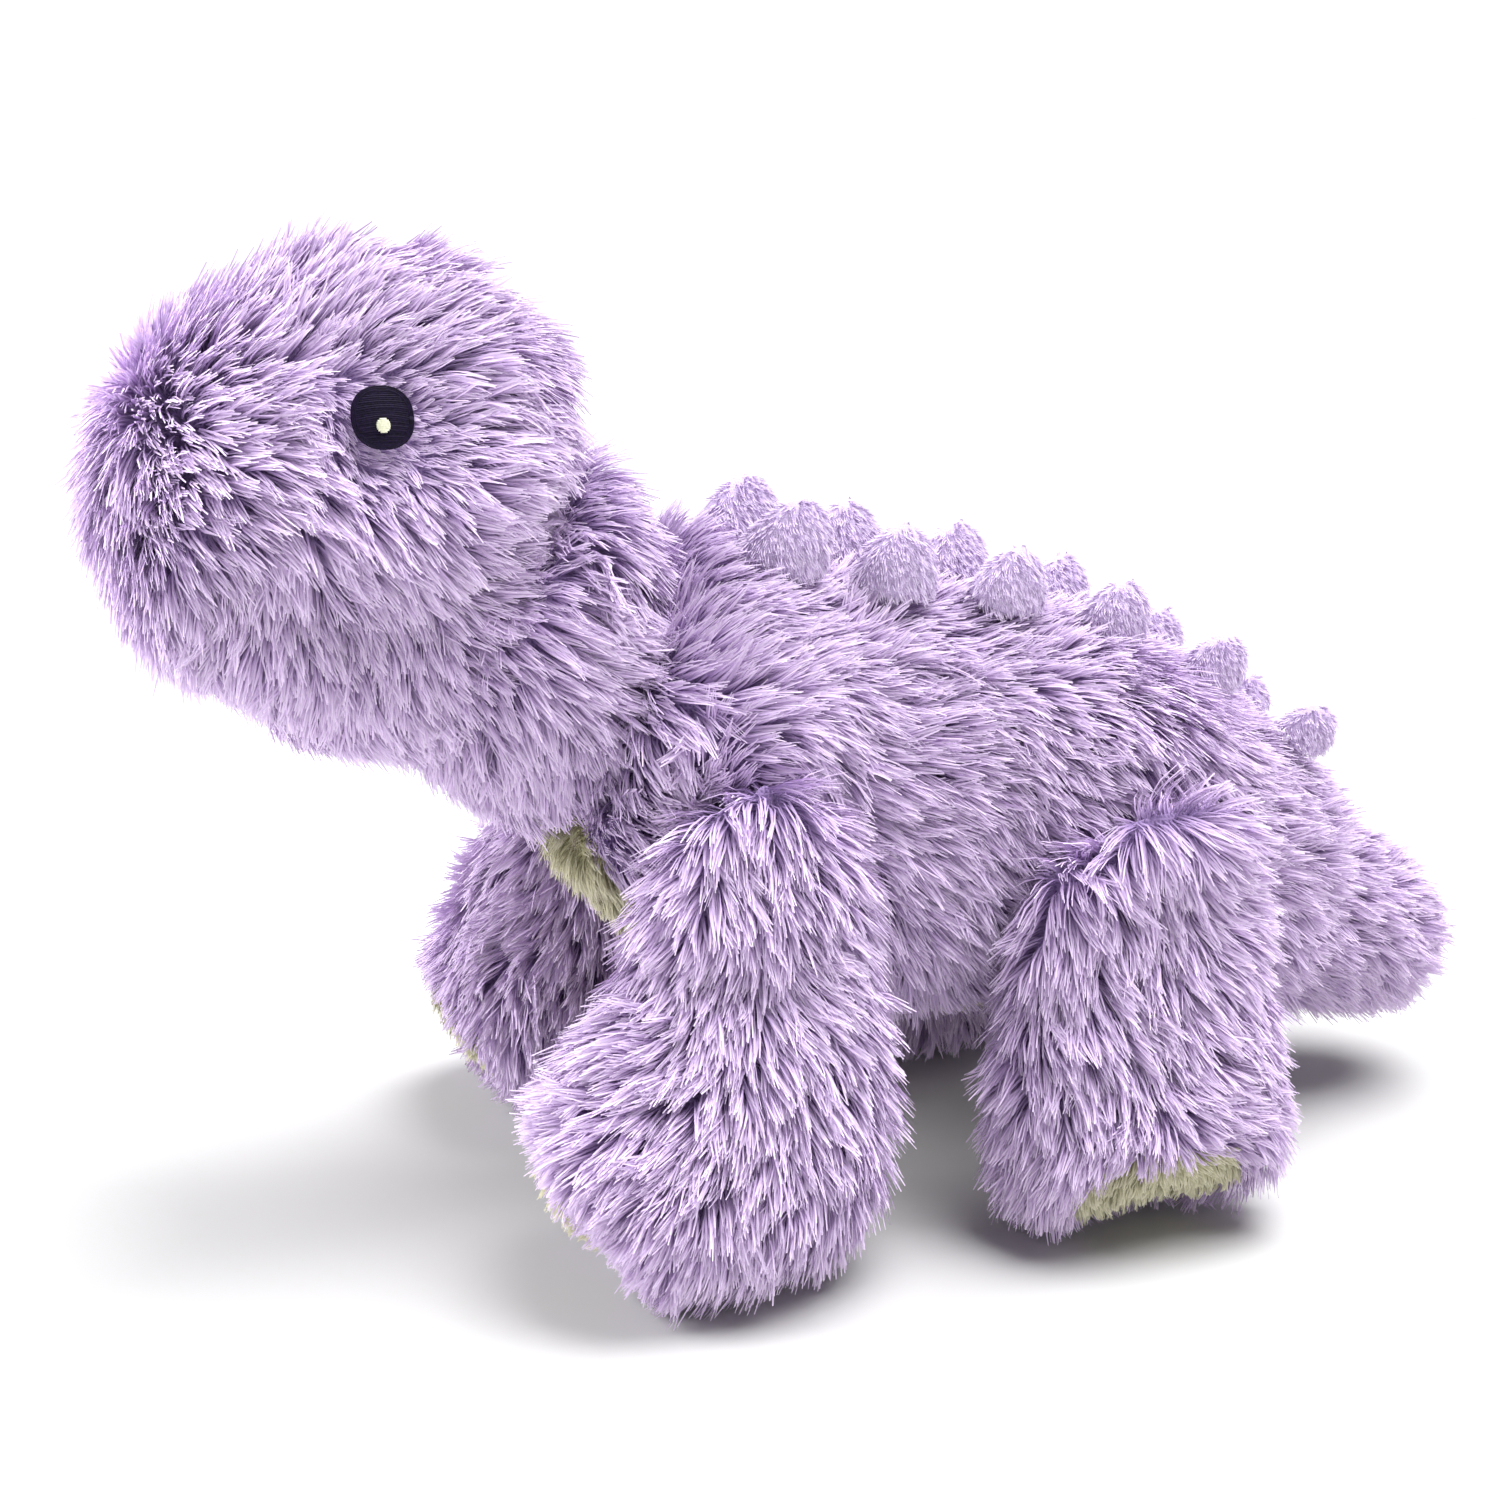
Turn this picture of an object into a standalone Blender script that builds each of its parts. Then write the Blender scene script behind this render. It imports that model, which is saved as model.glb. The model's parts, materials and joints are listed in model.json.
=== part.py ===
"""A stuffed long-necked dinosaur in long-pile plush, with two rows of small stuffed spikes on its back.

It faces -X, its left side is -Y and it stands on the floor at Z = 0. Each cover is cut as sewn panels,
with the pile counted in its thickness, and each holds its own filling.
"""
import math

import bmesh
import bpy
from mathutils import Vector
from mathutils.bvhtree import BVHTree

MM = 0.001

# Cloth, all in millimetres
PILE = 6.0  # cover panel, backing and lying pile together
SEAM = 0.4  # clearance between two sewn panels
LOOSE = 1.4  # clearance between a cover and the stuffing it holds
BAG_LOOSE = 2.0  # the same round the inner bag, whose ends are rounder than the cover
LINER = 1.2  # wall of the inner bag
SOLE_PILE = 4.0  # thickness of a sole

# Trunk, from the neck seam back to the tail seam
TRUNK_SIDE = 36.0  # half width where the legs hang
NECK_SEAM = (-60.0, 118.0)  # X and Z of the middle of the neck seam
TAIL_SEAM = (112.0, 54.0)
NECK_ROOT_UP = 41.0
NECK_ROOT_SIDE = 35.5
TAIL_ROOT_UP = 37.0
TAIL_ROOT_SIDE = 32.0
CHEST_UP = 51.0
BELLY_UP = 52.0
LOIN_UP = 50.0
RUMP_UP = 43.0
BELLY_HALF_ANGLE = 32.0  # how far the cream panel reaches each side of the middle, in degrees
BACK_HALF_ANGLE = 40.0

# Neck and head
NECK_PLAY = 3.6  # room for the neck to nod inside the trunk's front edge
HEAD_SEAM = (-91.0, 144.0)
HEAD_SEAM_RISE = 33.0  # how far the neck's axis points up, in degrees
HEAD_SEAM_UP = 41.0
HEAD_SEAM_SIDE = 36.0
NECK_GAP = 1.0  # gap between neck and head, which turn on each other
SKULL_UP = 53.0
SKULL_SIDE = 40.0
NOSE_X = -171.0
NOSE_Z = 163.0
MUZZLE_CAP = 22.0
EYE_BACK = 47.8  # distance from the nose, along the head
EYE_RISE = 26.0  # degrees round the head, from the side towards the crown
EYE_RADIUS = 6.8
EYE_THICKNESS = 1.6
EYE_RECESS = 5.2  # how deep the shorn patch round the eye lies in the pile
EYE_PATCH = 9.5
GLINT_RADIUS = 1.7
GLINT_THICKNESS = 0.8
GLINT_FORWARD = -0.3  # place of the glint from the middle of the eye
GLINT_DROP = 1.7

# Legs
LEG_PLAY = 0.8  # gap between a leg's inner face and the trunk's side
FRONT_HIP = (-45.0, 88.0)
HIND_HIP = (47.0, 78.0)
FRONT_PAW_LENGTH = 43.0  # half length of the paw, along X
FRONT_PAW_WIDTH = 28.0
HIND_PAW_LENGTH = 37.0
HIND_PAW_WIDTH = 26.0

# Tail
TAIL_PLAY = 3.4
TAIL_LENGTH = 63.0
TAIL_SWELL = 27.0
TAIL_DROP = 22.0  # how far the tail points down, in degrees

# Spikes
SPIKE_PAIRS = 6
FIRST_SPIKE_X = -27.5
LAST_SPIKE_X = 112.5
SPIKE_ROW = 13.0  # distance of each row from the middle
SPIKE_LEAN = 9.0  # degrees outward
SPIKE_SEAT = 1.1  # clearance of a spike's base over the curved cover
FIRST_SPIKE = (18.5, 9.6, 6.8)  # height, half length and half thickness
LAST_SPIKE = (13.0, 7.6, 5.4)


def lerp(a, b, t):
    return a + (b - a) * t


def spline(values, t):
    """Smooth curve through evenly spaced numbers or vectors, t running from 0 to 1."""
    last = len(values) - 1
    place = min(max(t, 0.0), 1.0) * last
    i = min(int(place), last - 1)
    f = place - i
    before = values[i - 1] if i > 0 else values[0] * 2 - values[1]
    after = values[i + 2] if i + 2 <= last else values[last] * 2 - values[last - 1]
    a, b = values[i], values[i + 1]
    return (
        a * 2
        + (b - before) * f
        + (before * 2 - a * 5 + b * 4 - after) * f**2
        + (a * 3 - before - b * 3 + after) * f**3
    ) * 0.5


class Station:
    """One cross-section: its middle, the direction that counts as up, and its radii."""

    def __init__(self, middle, up_dir, up, down, side):
        self.middle = Vector(middle)
        self.up_dir = Vector(up_dir).normalized()
        self.radii = Vector((up, down, side))


class SoftForm:
    """A soft closed or open tube through stations, with rounded ends where a cap length is given."""

    def __init__(self, stations, start_cap=0.0, end_cap=0.0, power=2.2, side=1):
        self.stations = stations
        self.power = power
        self.side = side
        self.steps = [0.0]
        for a, b in zip(stations, stations[1:]):
            self.steps.append(self.steps[-1] + (b.middle - a.middle).length)
        self.length = self.steps[-1]
        self.start_cap = start_cap
        self.end_cap = end_cap

    def at(self, along):
        """Middle, up direction and radii at a distance along the form."""
        along = min(max(along, 0.0), self.length)
        i = 0
        while i < len(self.steps) - 2 and along > self.steps[i + 1]:
            i += 1
        f = (along - self.steps[i]) / (self.steps[i + 1] - self.steps[i])
        t = (i + f) / (len(self.stations) - 1)
        middle = spline([s.middle for s in self.stations], t)
        up_dir = spline([s.up_dir for s in self.stations], t).normalized()
        radii = spline([s.radii for s in self.stations], t)
        return middle, up_dir, radii

    def rows(self, count, inset, start_trim=0.0, end_trim=0.0):
        """Distances along the form and how far each end cap has closed there, for a surface inset inward."""
        first = inset if self.start_cap else start_trim
        last = self.length - (inset if self.end_cap else end_trim)
        found = []
        for k in range(count + 1):
            share = k / count
            eased = 0.5 - 0.5 * math.cos(math.pi * share)
            if self.start_cap and self.end_cap:
                mix = lerp(share, eased, 0.75)
            elif self.start_cap:
                mix = lerp(share, 1 - math.cos(0.5 * math.pi * share), 0.6)
            elif self.end_cap:
                mix = lerp(share, math.sin(0.5 * math.pi * share), 0.6)
            else:
                mix = share
            along = lerp(first, last, mix)
            close = 1.0
            if self.start_cap and along < self.start_cap:
                reach = self.start_cap - inset
                close *= math.sqrt(max(0.0, 1 - ((self.start_cap - along) / reach) ** 2))
            if self.end_cap and along > self.length - self.end_cap:
                reach = self.end_cap - inset
                past = along - (self.length - self.end_cap)
                close *= math.sqrt(max(0.0, 1 - (past / reach) ** 2))
            found.append((along, close))
        return found

    def point(self, along, close, angle, inset, floor):
        """A point of the surface; angle 0 is the side, 90 is up. Nothing goes under the floor."""
        middle, up_dir, radii = self.at(along)
        up, down, wide = radii
        c, s = math.cos(angle), math.sin(angle)
        tall = (up if s >= 0 else down) - inset
        across = math.copysign(abs(c) ** (2 / self.power), c) * (wide - inset) * close
        above = math.copysign(abs(s) ** (2 / self.power), s) * tall * close
        spot = middle + up_dir * above + Vector((0, across, 0))
        if floor is not None:
            spot.z = max(spot.z, floor + inset)
        spot.y *= self.side
        return spot


def plain_material(name, colour, roughness):
    material = bpy.data.materials.new(name)
    material.use_nodes = True
    shader = material.node_tree.nodes["Principled BSDF"]
    shader.inputs["Base Color"].default_value = (*colour, 1.0)
    shader.inputs["Roughness"].default_value = roughness
    shader.inputs["Metallic"].default_value = 0.0
    material.diffuse_color = (*colour, 1.0)
    return material


LILAC = (0.49, 0.38, 0.68)
PALE_LILAC = (0.62, 0.48, 0.78)
CREAM = (0.58, 0.55, 0.36)
EYE_THREAD = (0.012, 0.008, 0.022)
GLINT_THREAD = (0.86, 0.87, 0.70)
FIBRE = (0.86, 0.86, 0.84)
LINER_CLOTH = (0.74, 0.72, 0.66)
GRAIN = (0.62, 0.50, 0.30)


def add_object(name, mesh_parts, colour, roughness, pivot):
    """Makes the named object from a bmesh given in millimetres, with its origin on its joint."""
    origin = Vector(pivot)
    for vertex in mesh_parts.verts:
        vertex.co = (vertex.co - origin) * MM
    bmesh.ops.recalc_face_normals(mesh_parts, faces=mesh_parts.faces)
    mesh = bpy.data.meshes.new(name)
    mesh_parts.to_mesh(mesh)
    mesh_parts.free()
    mesh.shade_smooth()
    mesh.set_sharp_from_angle(angle=math.radians(50))
    mesh.materials.append(plain_material(name, colour, roughness))
    obj = bpy.data.objects.new(name, mesh)
    obj.location = origin * MM
    bpy.context.collection.objects.link(obj)
    return obj


def grid_sheet(bm, rows):
    """Faces between rows of vertices; a row of one vertex is a pole."""
    for a, b in zip(rows, rows[1:]):
        wide = max(len(a), len(b))
        for k in range(wide - 1):
            corners = []
            for vertex in (a[min(k, len(a) - 1)], a[min(k + 1, len(a) - 1)]):
                if vertex not in corners:
                    corners.append(vertex)
            for vertex in (b[min(k + 1, len(b) - 1)], b[min(k, len(b) - 1)]):
                if vertex not in corners:
                    corners.append(vertex)
            if len(corners) > 2:
                bm.faces.new(corners)


def sheet_rows(bm, form, row_count, angles, inset, floor, trims, shift):
    rows = []
    for along, close in form.rows(row_count, inset, *trims):
        spots = [form.point(along, close, a, inset, floor) + shift for a in angles]
        if close < 1e-4:
            spots = spots[:1]
        rows.append([bm.verts.new(spot) for spot in spots])
    return rows


def cover_panel(name, form, arc, columns, row_count, look, pivot, thick=PILE, floor=None, trims=(0, 0), outset=0):
    """One sewn panel of a cover: the part of the form's wall between two angles, in degrees."""
    start, stop = (math.radians(a) for a in arc)
    angles = [lerp(start, stop, k / columns) for k in range(columns + 1)]
    middle_angle = 0.5 * (start + stop)
    _, up_dir, _ = form.at(form.length * 0.5)
    shift = up_dir * math.sin(middle_angle) + Vector((0, math.cos(middle_angle) * form.side, 0))
    shift *= SEAM
    bm = bmesh.new()
    outer = sheet_rows(bm, form, row_count, angles, outset, floor, trims, shift)
    inner = sheet_rows(bm, form, row_count, angles, outset + thick, floor, trims, shift)
    grid_sheet(bm, outer)
    grid_sheet(bm, inner)
    for edge in (0, -1):
        grid_sheet(bm, [[row[edge] for row in outer], [row[edge] for row in inner]])
    for end in (0, -1):
        if len(outer[end]) > 1:
            grid_sheet(bm, [outer[end], inner[end]])
    return add_object(name, bm, *look, pivot)


def filling(name, form, inset, columns, row_count, look, pivot, floor=None, trims=(0, 0)):
    """A solid that fills a cover, inset from the form's surface."""
    angles = [2 * math.pi * k / columns for k in range(columns)]
    bm = bmesh.new()
    rows = sheet_rows(bm, form, row_count, angles, inset, floor, trims, Vector())
    grid_sheet(bm, [row + row[:1] if len(row) > 1 else row for row in rows])
    for end in (0, -1):
        if len(rows[end]) > 1:
            bm.faces.new(rows[end])
    return add_object(name, bm, *look, pivot)


def disc_frame(middle, normal):
    """A point and two directions across a disc, the first one level."""
    normal = Vector(normal).normalized()
    level = Vector((0, 0, 1)).cross(normal).normalized()
    return Vector(middle), normal, level, normal.cross(level)


def disc_mesh(middle, normal, half_level, half_slope, low, high, crown=0.0, columns=24):
    """A short elliptic plug along the normal, from low to high, its outer face raised by crown."""
    middle, normal, level, slope = disc_frame(middle, normal)
    bm = bmesh.new()
    rings = [(low, 1.0), (high, 1.0)]
    if crown:
        rings.append((high + crown * 0.75, 0.62))
    rows = []
    for height, share in rings:
        row = []
        for k in range(columns):
            turn = 2 * math.pi * k / columns
            across = level * math.cos(turn) * half_level * share
            across += slope * math.sin(turn) * half_slope * share
            row.append(bm.verts.new(middle + normal * height + across))
        rows.append(row)
    grid_sheet(bm, [row + row[:1] for row in rows])
    bm.faces.new(rows[0])
    if crown:
        top = bm.verts.new(middle + normal * (high + crown))
        grid_sheet(bm, [rows[-1] + rows[-1][:1], [top]])
    else:
        bm.faces.new(rows[-1])
    return bm


def cut_away(targets, cutter):
    """Takes the cutter's space out of each target."""
    cutter.hide_render = True
    cutter.display_type = "WIRE"
    for target in targets:
        cut = target.modifiers.new("cut_" + cutter.name, "BOOLEAN")
        cut.operation = "DIFFERENCE"
        cut.solver = "EXACT"
        cut.object = cutter


def xz(place, y=0.0):
    return (place[0], y, place[1])


def tilt(degrees):
    """Up direction of a section whose form runs back and down by this many degrees."""
    angle = math.radians(degrees)
    return (math.sin(angle), 0, math.cos(angle))


def trunk_form():
    return SoftForm(
        [
            Station(xz(NECK_SEAM), tilt(26), NECK_ROOT_UP, NECK_ROOT_UP, NECK_ROOT_SIDE),
            Station((-30, 0, 96), tilt(17), CHEST_UP, CHEST_UP, TRUNK_SIDE),
            Station((8, 0, 89), tilt(9), BELLY_UP, BELLY_UP, TRUNK_SIDE),
            Station((48, 0, 80), tilt(15), LOIN_UP, LOIN_UP, TRUNK_SIDE),
            Station((84, 0, 67), tilt(24), RUMP_UP, RUMP_UP, lerp(TRUNK_SIDE, TAIL_ROOT_SIDE, 0.5)),
            Station(xz(TAIL_SEAM), tilt(TAIL_DROP), TAIL_ROOT_UP, TAIL_ROOT_UP, TAIL_ROOT_SIDE),
        ],
        power=2.4,
    )


def make_trunk(form):
    lilac = (LILAC, 0.95)
    pivot = (0, 0, 0)
    belly_low, belly_high = -90 - BELLY_HALF_ANGLE, -90 + BELLY_HALF_ANGLE
    back_low, back_high = 90 - BACK_HALF_ANGLE, 90 + BACK_HALF_ANGLE
    panels = [
        cover_panel("trunk_right_panel", form, (belly_high, back_low), 6, 14, lilac, pivot),
        cover_panel("trunk_left_panel", form, (back_high, 270 - BELLY_HALF_ANGLE), 6, 14, lilac, pivot),
        cover_panel("back_panel", form, (back_low, back_high), 4, 14, lilac, pivot),
    ]
    cover_panel("belly_panel", form, (belly_low, belly_high), 4, 14, (CREAM, 0.95), pivot)
    return panels


def make_grain_bag(form):
    """A closed cloth bag of grain that rounds off short of the neck and the tail."""
    bag_stations = [Station(s.middle, s.up_dir, *s.radii) for s in form.stations]
    bag_stations[0].middle = spline([s.middle for s in form.stations], 0.08)
    bag_stations[-1].middle = spline([s.middle for s in form.stations], 0.93)
    bag = SoftForm(bag_stations, start_cap=34.0, end_cap=30.0, power=form.power)
    wall = PILE + BAG_LOOSE
    cloth = (LINER_CLOTH, 0.9)
    pivot = (0, 0, 0)
    cover_panel("grain_bag_right", bag, (-90, 90), 8, 12, cloth, pivot, thick=LINER, outset=wall)
    cover_panel("grain_bag_left", bag, (90, 270), 8, 12, cloth, pivot, thick=LINER, outset=wall)
    filling("grain_fill", bag, wall + LINER + LOOSE, 14, 12, (GRAIN, 0.8), pivot)


def make_neck():
    seam = Vector(xz(NECK_SEAM))
    axis = Vector((-math.cos(math.radians(26)), 0, math.sin(math.radians(26))))
    head_axis = head_turn_axis()
    root_up = NECK_ROOT_UP - PILE - NECK_PLAY
    root_side = NECK_ROOT_SIDE - PILE - NECK_PLAY * 0.5
    front = Vector(xz(HEAD_SEAM)) - head_axis * NECK_GAP * 0.5
    form = SoftForm(
        [
            Station(front, tilt(HEAD_SEAM_RISE), HEAD_SEAM_UP, HEAD_SEAM_UP, HEAD_SEAM_SIDE),
            Station(
                (front + seam) * 0.5 + Vector((-1, 0, 0)),
                tilt(30),
                lerp(HEAD_SEAM_UP, root_up, 0.58),
                lerp(HEAD_SEAM_UP, root_up, 0.58),
                lerp(HEAD_SEAM_SIDE, root_side, 0.58),
            ),
            Station(seam + axis * 8, tilt(26), root_up + 1, root_up + 1, root_side + 1),
            Station(seam, tilt(26), root_up, root_up, root_side),
        ],
        power=2.2,
    )
    lilac = (LILAC, 0.95)
    pivot = xz(NECK_SEAM)
    cover_panel("neck_right_panel", form, (-90, 90), 8, 6, lilac, pivot)
    cover_panel("neck_left_panel", form, (90, 270), 8, 6, lilac, pivot)
    filling("neck_stuffing", form, PILE + LOOSE, 14, 5, (FIBRE, 1.0), pivot)


def head_turn_axis():
    angle = math.radians(HEAD_SEAM_RISE)
    return Vector((-math.cos(angle), 0, math.sin(angle)))


def head_form():
    back = Vector(xz(HEAD_SEAM)) + head_turn_axis() * NECK_GAP * 0.5
    return SoftForm(
        [
            Station((NOSE_X, 0, NOSE_Z), tilt(0), 42, 39, 37),
            Station((-150, 0, 164), tilt(0), 43, 40, 38),
            Station((-128, 0, 162), tilt(6), SKULL_UP, 49, SKULL_SIDE),
            Station((-108, 0, 155), tilt(20), SKULL_UP + 5, 48, SKULL_SIDE),
            Station((-99, 0, 149.5), tilt(27), SKULL_UP, 45, SKULL_SIDE - 1.5),
            Station(back, tilt(HEAD_SEAM_RISE), HEAD_SEAM_UP, HEAD_SEAM_UP, HEAD_SEAM_SIDE),
        ],
        start_cap=MUZZLE_CAP,
        power=2.2,
    )


def make_head():
    form = head_form()
    lilac = (LILAC, 0.95)
    pivot = xz(HEAD_SEAM)
    right = cover_panel("head_right_panel", form, (-38, 62), 6, 12, lilac, pivot)
    left = cover_panel("head_left_panel", form, (118, 218), 6, 12, lilac, pivot)
    cover_panel("crown_panel", form, (62, 118), 3, 12, lilac, pivot)
    cover_panel("lower_jaw_panel", form, (218, 322), 6, 12, lilac, pivot)
    filling("head_stuffing", form, PILE + LOOSE, 14, 9, (FIBRE, 1.0), pivot)
    for name, panel, side in (("right", right, 1), ("left", left, -1)):
        make_eye(name, panel, side, form, pivot)


def make_eye(name, panel, side, form, pivot):
    """Embroidered eye with its cream glint, at the bottom of a shorn patch in the pile."""
    angle = math.radians(EYE_RISE)
    spot = form.point(EYE_BACK, 1.0, angle, 0, None)
    ahead = form.point(EYE_BACK + 2, 1.0, angle, 0, None) - spot
    upward = form.point(EYE_BACK, 1.0, angle + 0.04, 0, None) - spot
    normal = ahead.cross(upward).normalized()
    if normal.y < 0:
        normal = -normal
    spot.y *= side
    normal.y *= side
    bm = disc_mesh(spot, normal, EYE_PATCH, EYE_PATCH, -EYE_RECESS, 12)
    cutter = add_object("cut_eye_" + name, bm, EYE_THREAD, 0.5, pivot)
    cut_away([panel], cutter)
    low = -EYE_RECESS + SEAM
    high = low + EYE_THICKNESS
    bm = disc_mesh(spot, normal, EYE_RADIUS, EYE_RADIUS, low, high, crown=0.5)
    add_object("eye_" + name, bm, EYE_THREAD, 0.35, pivot)
    glint_low = high + 0.5 + SEAM * 0.5
    _, _, level, slope = disc_frame(spot, normal)
    glint_spot = spot - level * side * GLINT_FORWARD - slope * GLINT_DROP
    bm = disc_mesh(
        glint_spot, normal, GLINT_RADIUS, GLINT_RADIUS, glint_low, glint_low + GLINT_THICKNESS, columns=12
    )
    add_object("eye_glint_" + name, bm, GLINT_THREAD, 0.5, pivot)


def leg_station(z, x, inner, length, width):
    """A level section of a leg: height, place along the body, inner face, half length, half width."""
    return Station((x, inner + width, z), (-1, 0, 0), length, length, width)


def front_leg_form(side):
    inner = TRUNK_SIDE + LEG_PLAY
    length, width = FRONT_PAW_LENGTH, FRONT_PAW_WIDTH
    return SoftForm(
        [
            leg_station(119, -43, inner, length - 17, 10.5),
            leg_station(98, -44, inner, length - 14, 11),
            leg_station(78, -45, inner, length - 11, 12.5),
            leg_station(60, -48, inner - 1.5, length - 7, 16),
            leg_station(44, -52, inner - 9, length - 1, width - 5),
            leg_station(26, -54, inner - 15, length, width),
            leg_station(10, -54, inner - 15, length - 1, width),
            leg_station(-8, -54, inner - 15, length - 2, width),
        ],
        start_cap=24.0,
        end_cap=30.0,
        side=side,
    )


def hind_leg_form(side):
    inner = TRUNK_SIDE + LEG_PLAY
    length, width = HIND_PAW_LENGTH, HIND_PAW_WIDTH
    return SoftForm(
        [
            leg_station(112, 50, inner, length - 6, 11),
            leg_station(92, 49, inner, length - 2, 12),
            leg_station(72, 47, inner, length + 1, 13.5),
            leg_station(52, 46, inner - 0.8, length, 17),
            leg_station(34, 46, inner - 5, length, width - 3),
            leg_station(20, 47, inner - 7, length, width),
            leg_station(-7, 47, inner - 7, length, width),
        ],
        start_cap=26.0,
        end_cap=27.0,
        side=side,
    )


def make_leg(name, form, hip, side, sole):
    """Outer and inner cover panels, the filling and the sole of one leg."""
    lilac = (LILAC, 0.95)
    pivot = (hip[0], (TRUNK_SIDE + LEG_PLAY) * side, hip[1])
    outer = cover_panel(name + "_outer_panel", form, (-90, 90), 8, 13, lilac, pivot, floor=0.0)
    inner = cover_panel(name + "_inner_panel", form, (90, 270), 8, 13, lilac, pivot, floor=0.0)
    stuffing = filling(
        name + "_stuffing", form, PILE + LOOSE, 16, 13, (FIBRE, 1.0), pivot, floor=0.0
    )
    middle, normal, half_level, half_slope = sole
    middle = (middle[0], middle[1] * side, middle[2])
    normal = (normal[0], normal[1] * side, normal[2])
    bm = disc_mesh(
        middle, normal, half_level + SEAM, half_slope + SEAM, -SOLE_PILE - SEAM, 40, columns=20
    )
    cutter = add_object("cut_" + name + "_sole", bm, CREAM, 1.0, pivot)
    cut_away([outer, inner, stuffing], cutter)
    bm = disc_mesh(middle, normal, half_level, half_slope, -SOLE_PILE, -0.8, crown=1.2, columns=20)
    add_object(name + "_sole", bm, CREAM, 0.95, pivot)


def make_legs():
    front_middle = TRUNK_SIDE + LEG_PLAY - 15 + FRONT_PAW_WIDTH
    hind_middle = TRUNK_SIDE + LEG_PLAY - 7 + HIND_PAW_WIDTH
    front_sole = ((-87, front_middle, 20), (-0.80, 0.10, -0.58), 18.0, 16.0)
    hind_sole = ((48, hind_middle + 15, 12), (0.05, 0.72, -0.69), 18.0, 12.5)
    for side_name, side in (("left", -1), ("right", 1)):
        make_leg("front_leg_" + side_name, front_leg_form(side), FRONT_HIP, side, front_sole)
        make_leg("hind_leg_" + side_name, hind_leg_form(side), HIND_HIP, side, hind_sole)


def make_tail():
    seam = Vector(xz(TAIL_SEAM))
    angle = math.radians(TAIL_DROP)
    axis = Vector((math.cos(angle), 0, -math.sin(angle)))
    up = tilt(TAIL_DROP)
    root_side = TAIL_ROOT_SIDE - PILE - TAIL_PLAY
    root_up = TAIL_ROOT_UP - PILE - TAIL_PLAY
    form = SoftForm(
        [
            Station(seam, up, root_up, root_up, root_side),
            Station(seam + axis * TAIL_LENGTH * 0.25, up, TAIL_SWELL, TAIL_SWELL, root_side + 1.5),
            Station(seam + axis * TAIL_LENGTH * 0.6, up, TAIL_SWELL - 3, TAIL_SWELL - 3, root_side),
            Station(seam + axis * TAIL_LENGTH, up, TAIL_SWELL - 7, TAIL_SWELL - 7, root_side - 3),
        ],
        end_cap=28.0,
        power=2.1,
    )
    lilac = (LILAC, 0.95)
    pivot = xz(TAIL_SEAM)
    cover_panel("tail_right_panel", form, (-90, 90), 7, 9, lilac, pivot)
    cover_panel("tail_left_panel", form, (90, 270), 7, 9, lilac, pivot)
    filling("tail_stuffing", form, PILE + LOOSE, 12, 7, (FIBRE, 1.0), pivot)


def surface_tree(panels):
    """The trunk's outer surface, for seating the spikes on it."""
    bm = bmesh.new()
    for panel in panels:
        bm.from_mesh(panel.data)
    tree = BVHTree.FromBMesh(bm)
    bm.free()
    return tree


def seat(tree, x, y, toward=(0, 0, -1)):
    """Height and normal of the trunk's surface over a point, in millimetres."""
    hit, normal, _, _ = tree.ray_cast(Vector((x * MM, y * MM, 0.3)), Vector(toward))
    return hit / MM, normal


def make_spike(name, tree, x, row, share, side):
    """A small stuffed cone with a blunt tip, flattened sideways, its base shaped to the trunk under it."""
    height, half_length, half_thick = (lerp(a, b, share) for a, b in zip(FIRST_SPIKE, LAST_SPIKE))
    foot, _ = seat(tree, x, row * side)
    ahead, _ = seat(tree, x - 6, row * side)
    behind, _ = seat(tree, x + 6, row * side)
    along = (behind - ahead).normalized()
    lean = math.radians(SPIKE_LEAN) * side
    axis = Vector((0, math.sin(lean), math.cos(lean)))
    axis = (axis - along * axis.dot(along)).normalized()
    across = axis.cross(along)
    bm = bmesh.new()
    columns, levels = 10, 5
    rows = []
    for level in range(levels):
        rise = level / levels
        if level == 0:
            swell = 1.0
        else:
            swell = (1 - rise**2.2) ** 0.62
        row_spots = []
        for k in range(columns):
            turn = 2 * math.pi * k / columns
            spread = along * math.cos(turn) * half_length + across * math.sin(turn) * half_thick
            spot = foot + spread * swell + axis * height * rise
            if level == 0:
                ground, _ = seat(tree, spot.x, spot.y)
                spot.z = ground.z + SPIKE_SEAT
            row_spots.append(bm.verts.new(spot))
        rows.append(row_spots)
    tip = bm.verts.new(foot + axis * height)
    grid_sheet(bm, [row + row[:1] for row in rows] + [[tip]])
    under = bm.verts.new(foot + Vector((0, 0, SPIKE_SEAT + 0.4)))
    grid_sheet(bm, [rows[0] + rows[0][:1], [under]])
    add_object(name, bm, PALE_LILAC, 0.85, (0, 0, 0))


def make_spikes(panels):
    tree = surface_tree(panels)
    for k in range(SPIKE_PAIRS):
        share = k / (SPIKE_PAIRS - 1)
        x = lerp(FIRST_SPIKE_X, LAST_SPIKE_X, share)
        for side_name, side in (("left", -1), ("right", 1)):
            make_spike(f"spike_{side_name}_{k + 1}", tree, x, SPIKE_ROW, share, side)


def main():
    for obj in list(bpy.data.objects):
        bpy.data.objects.remove(obj)
    form = trunk_form()
    panels = make_trunk(form)
    make_grain_bag(form)
    make_neck()
    make_head()
    make_legs()
    make_tail()
    make_spikes(panels)


main()
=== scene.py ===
import json
import math
import random

import bmesh
import bpy
import numpy as np
from mathutils import Matrix, Vector, noise
from mathutils.bvhtree import BVHTree

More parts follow.
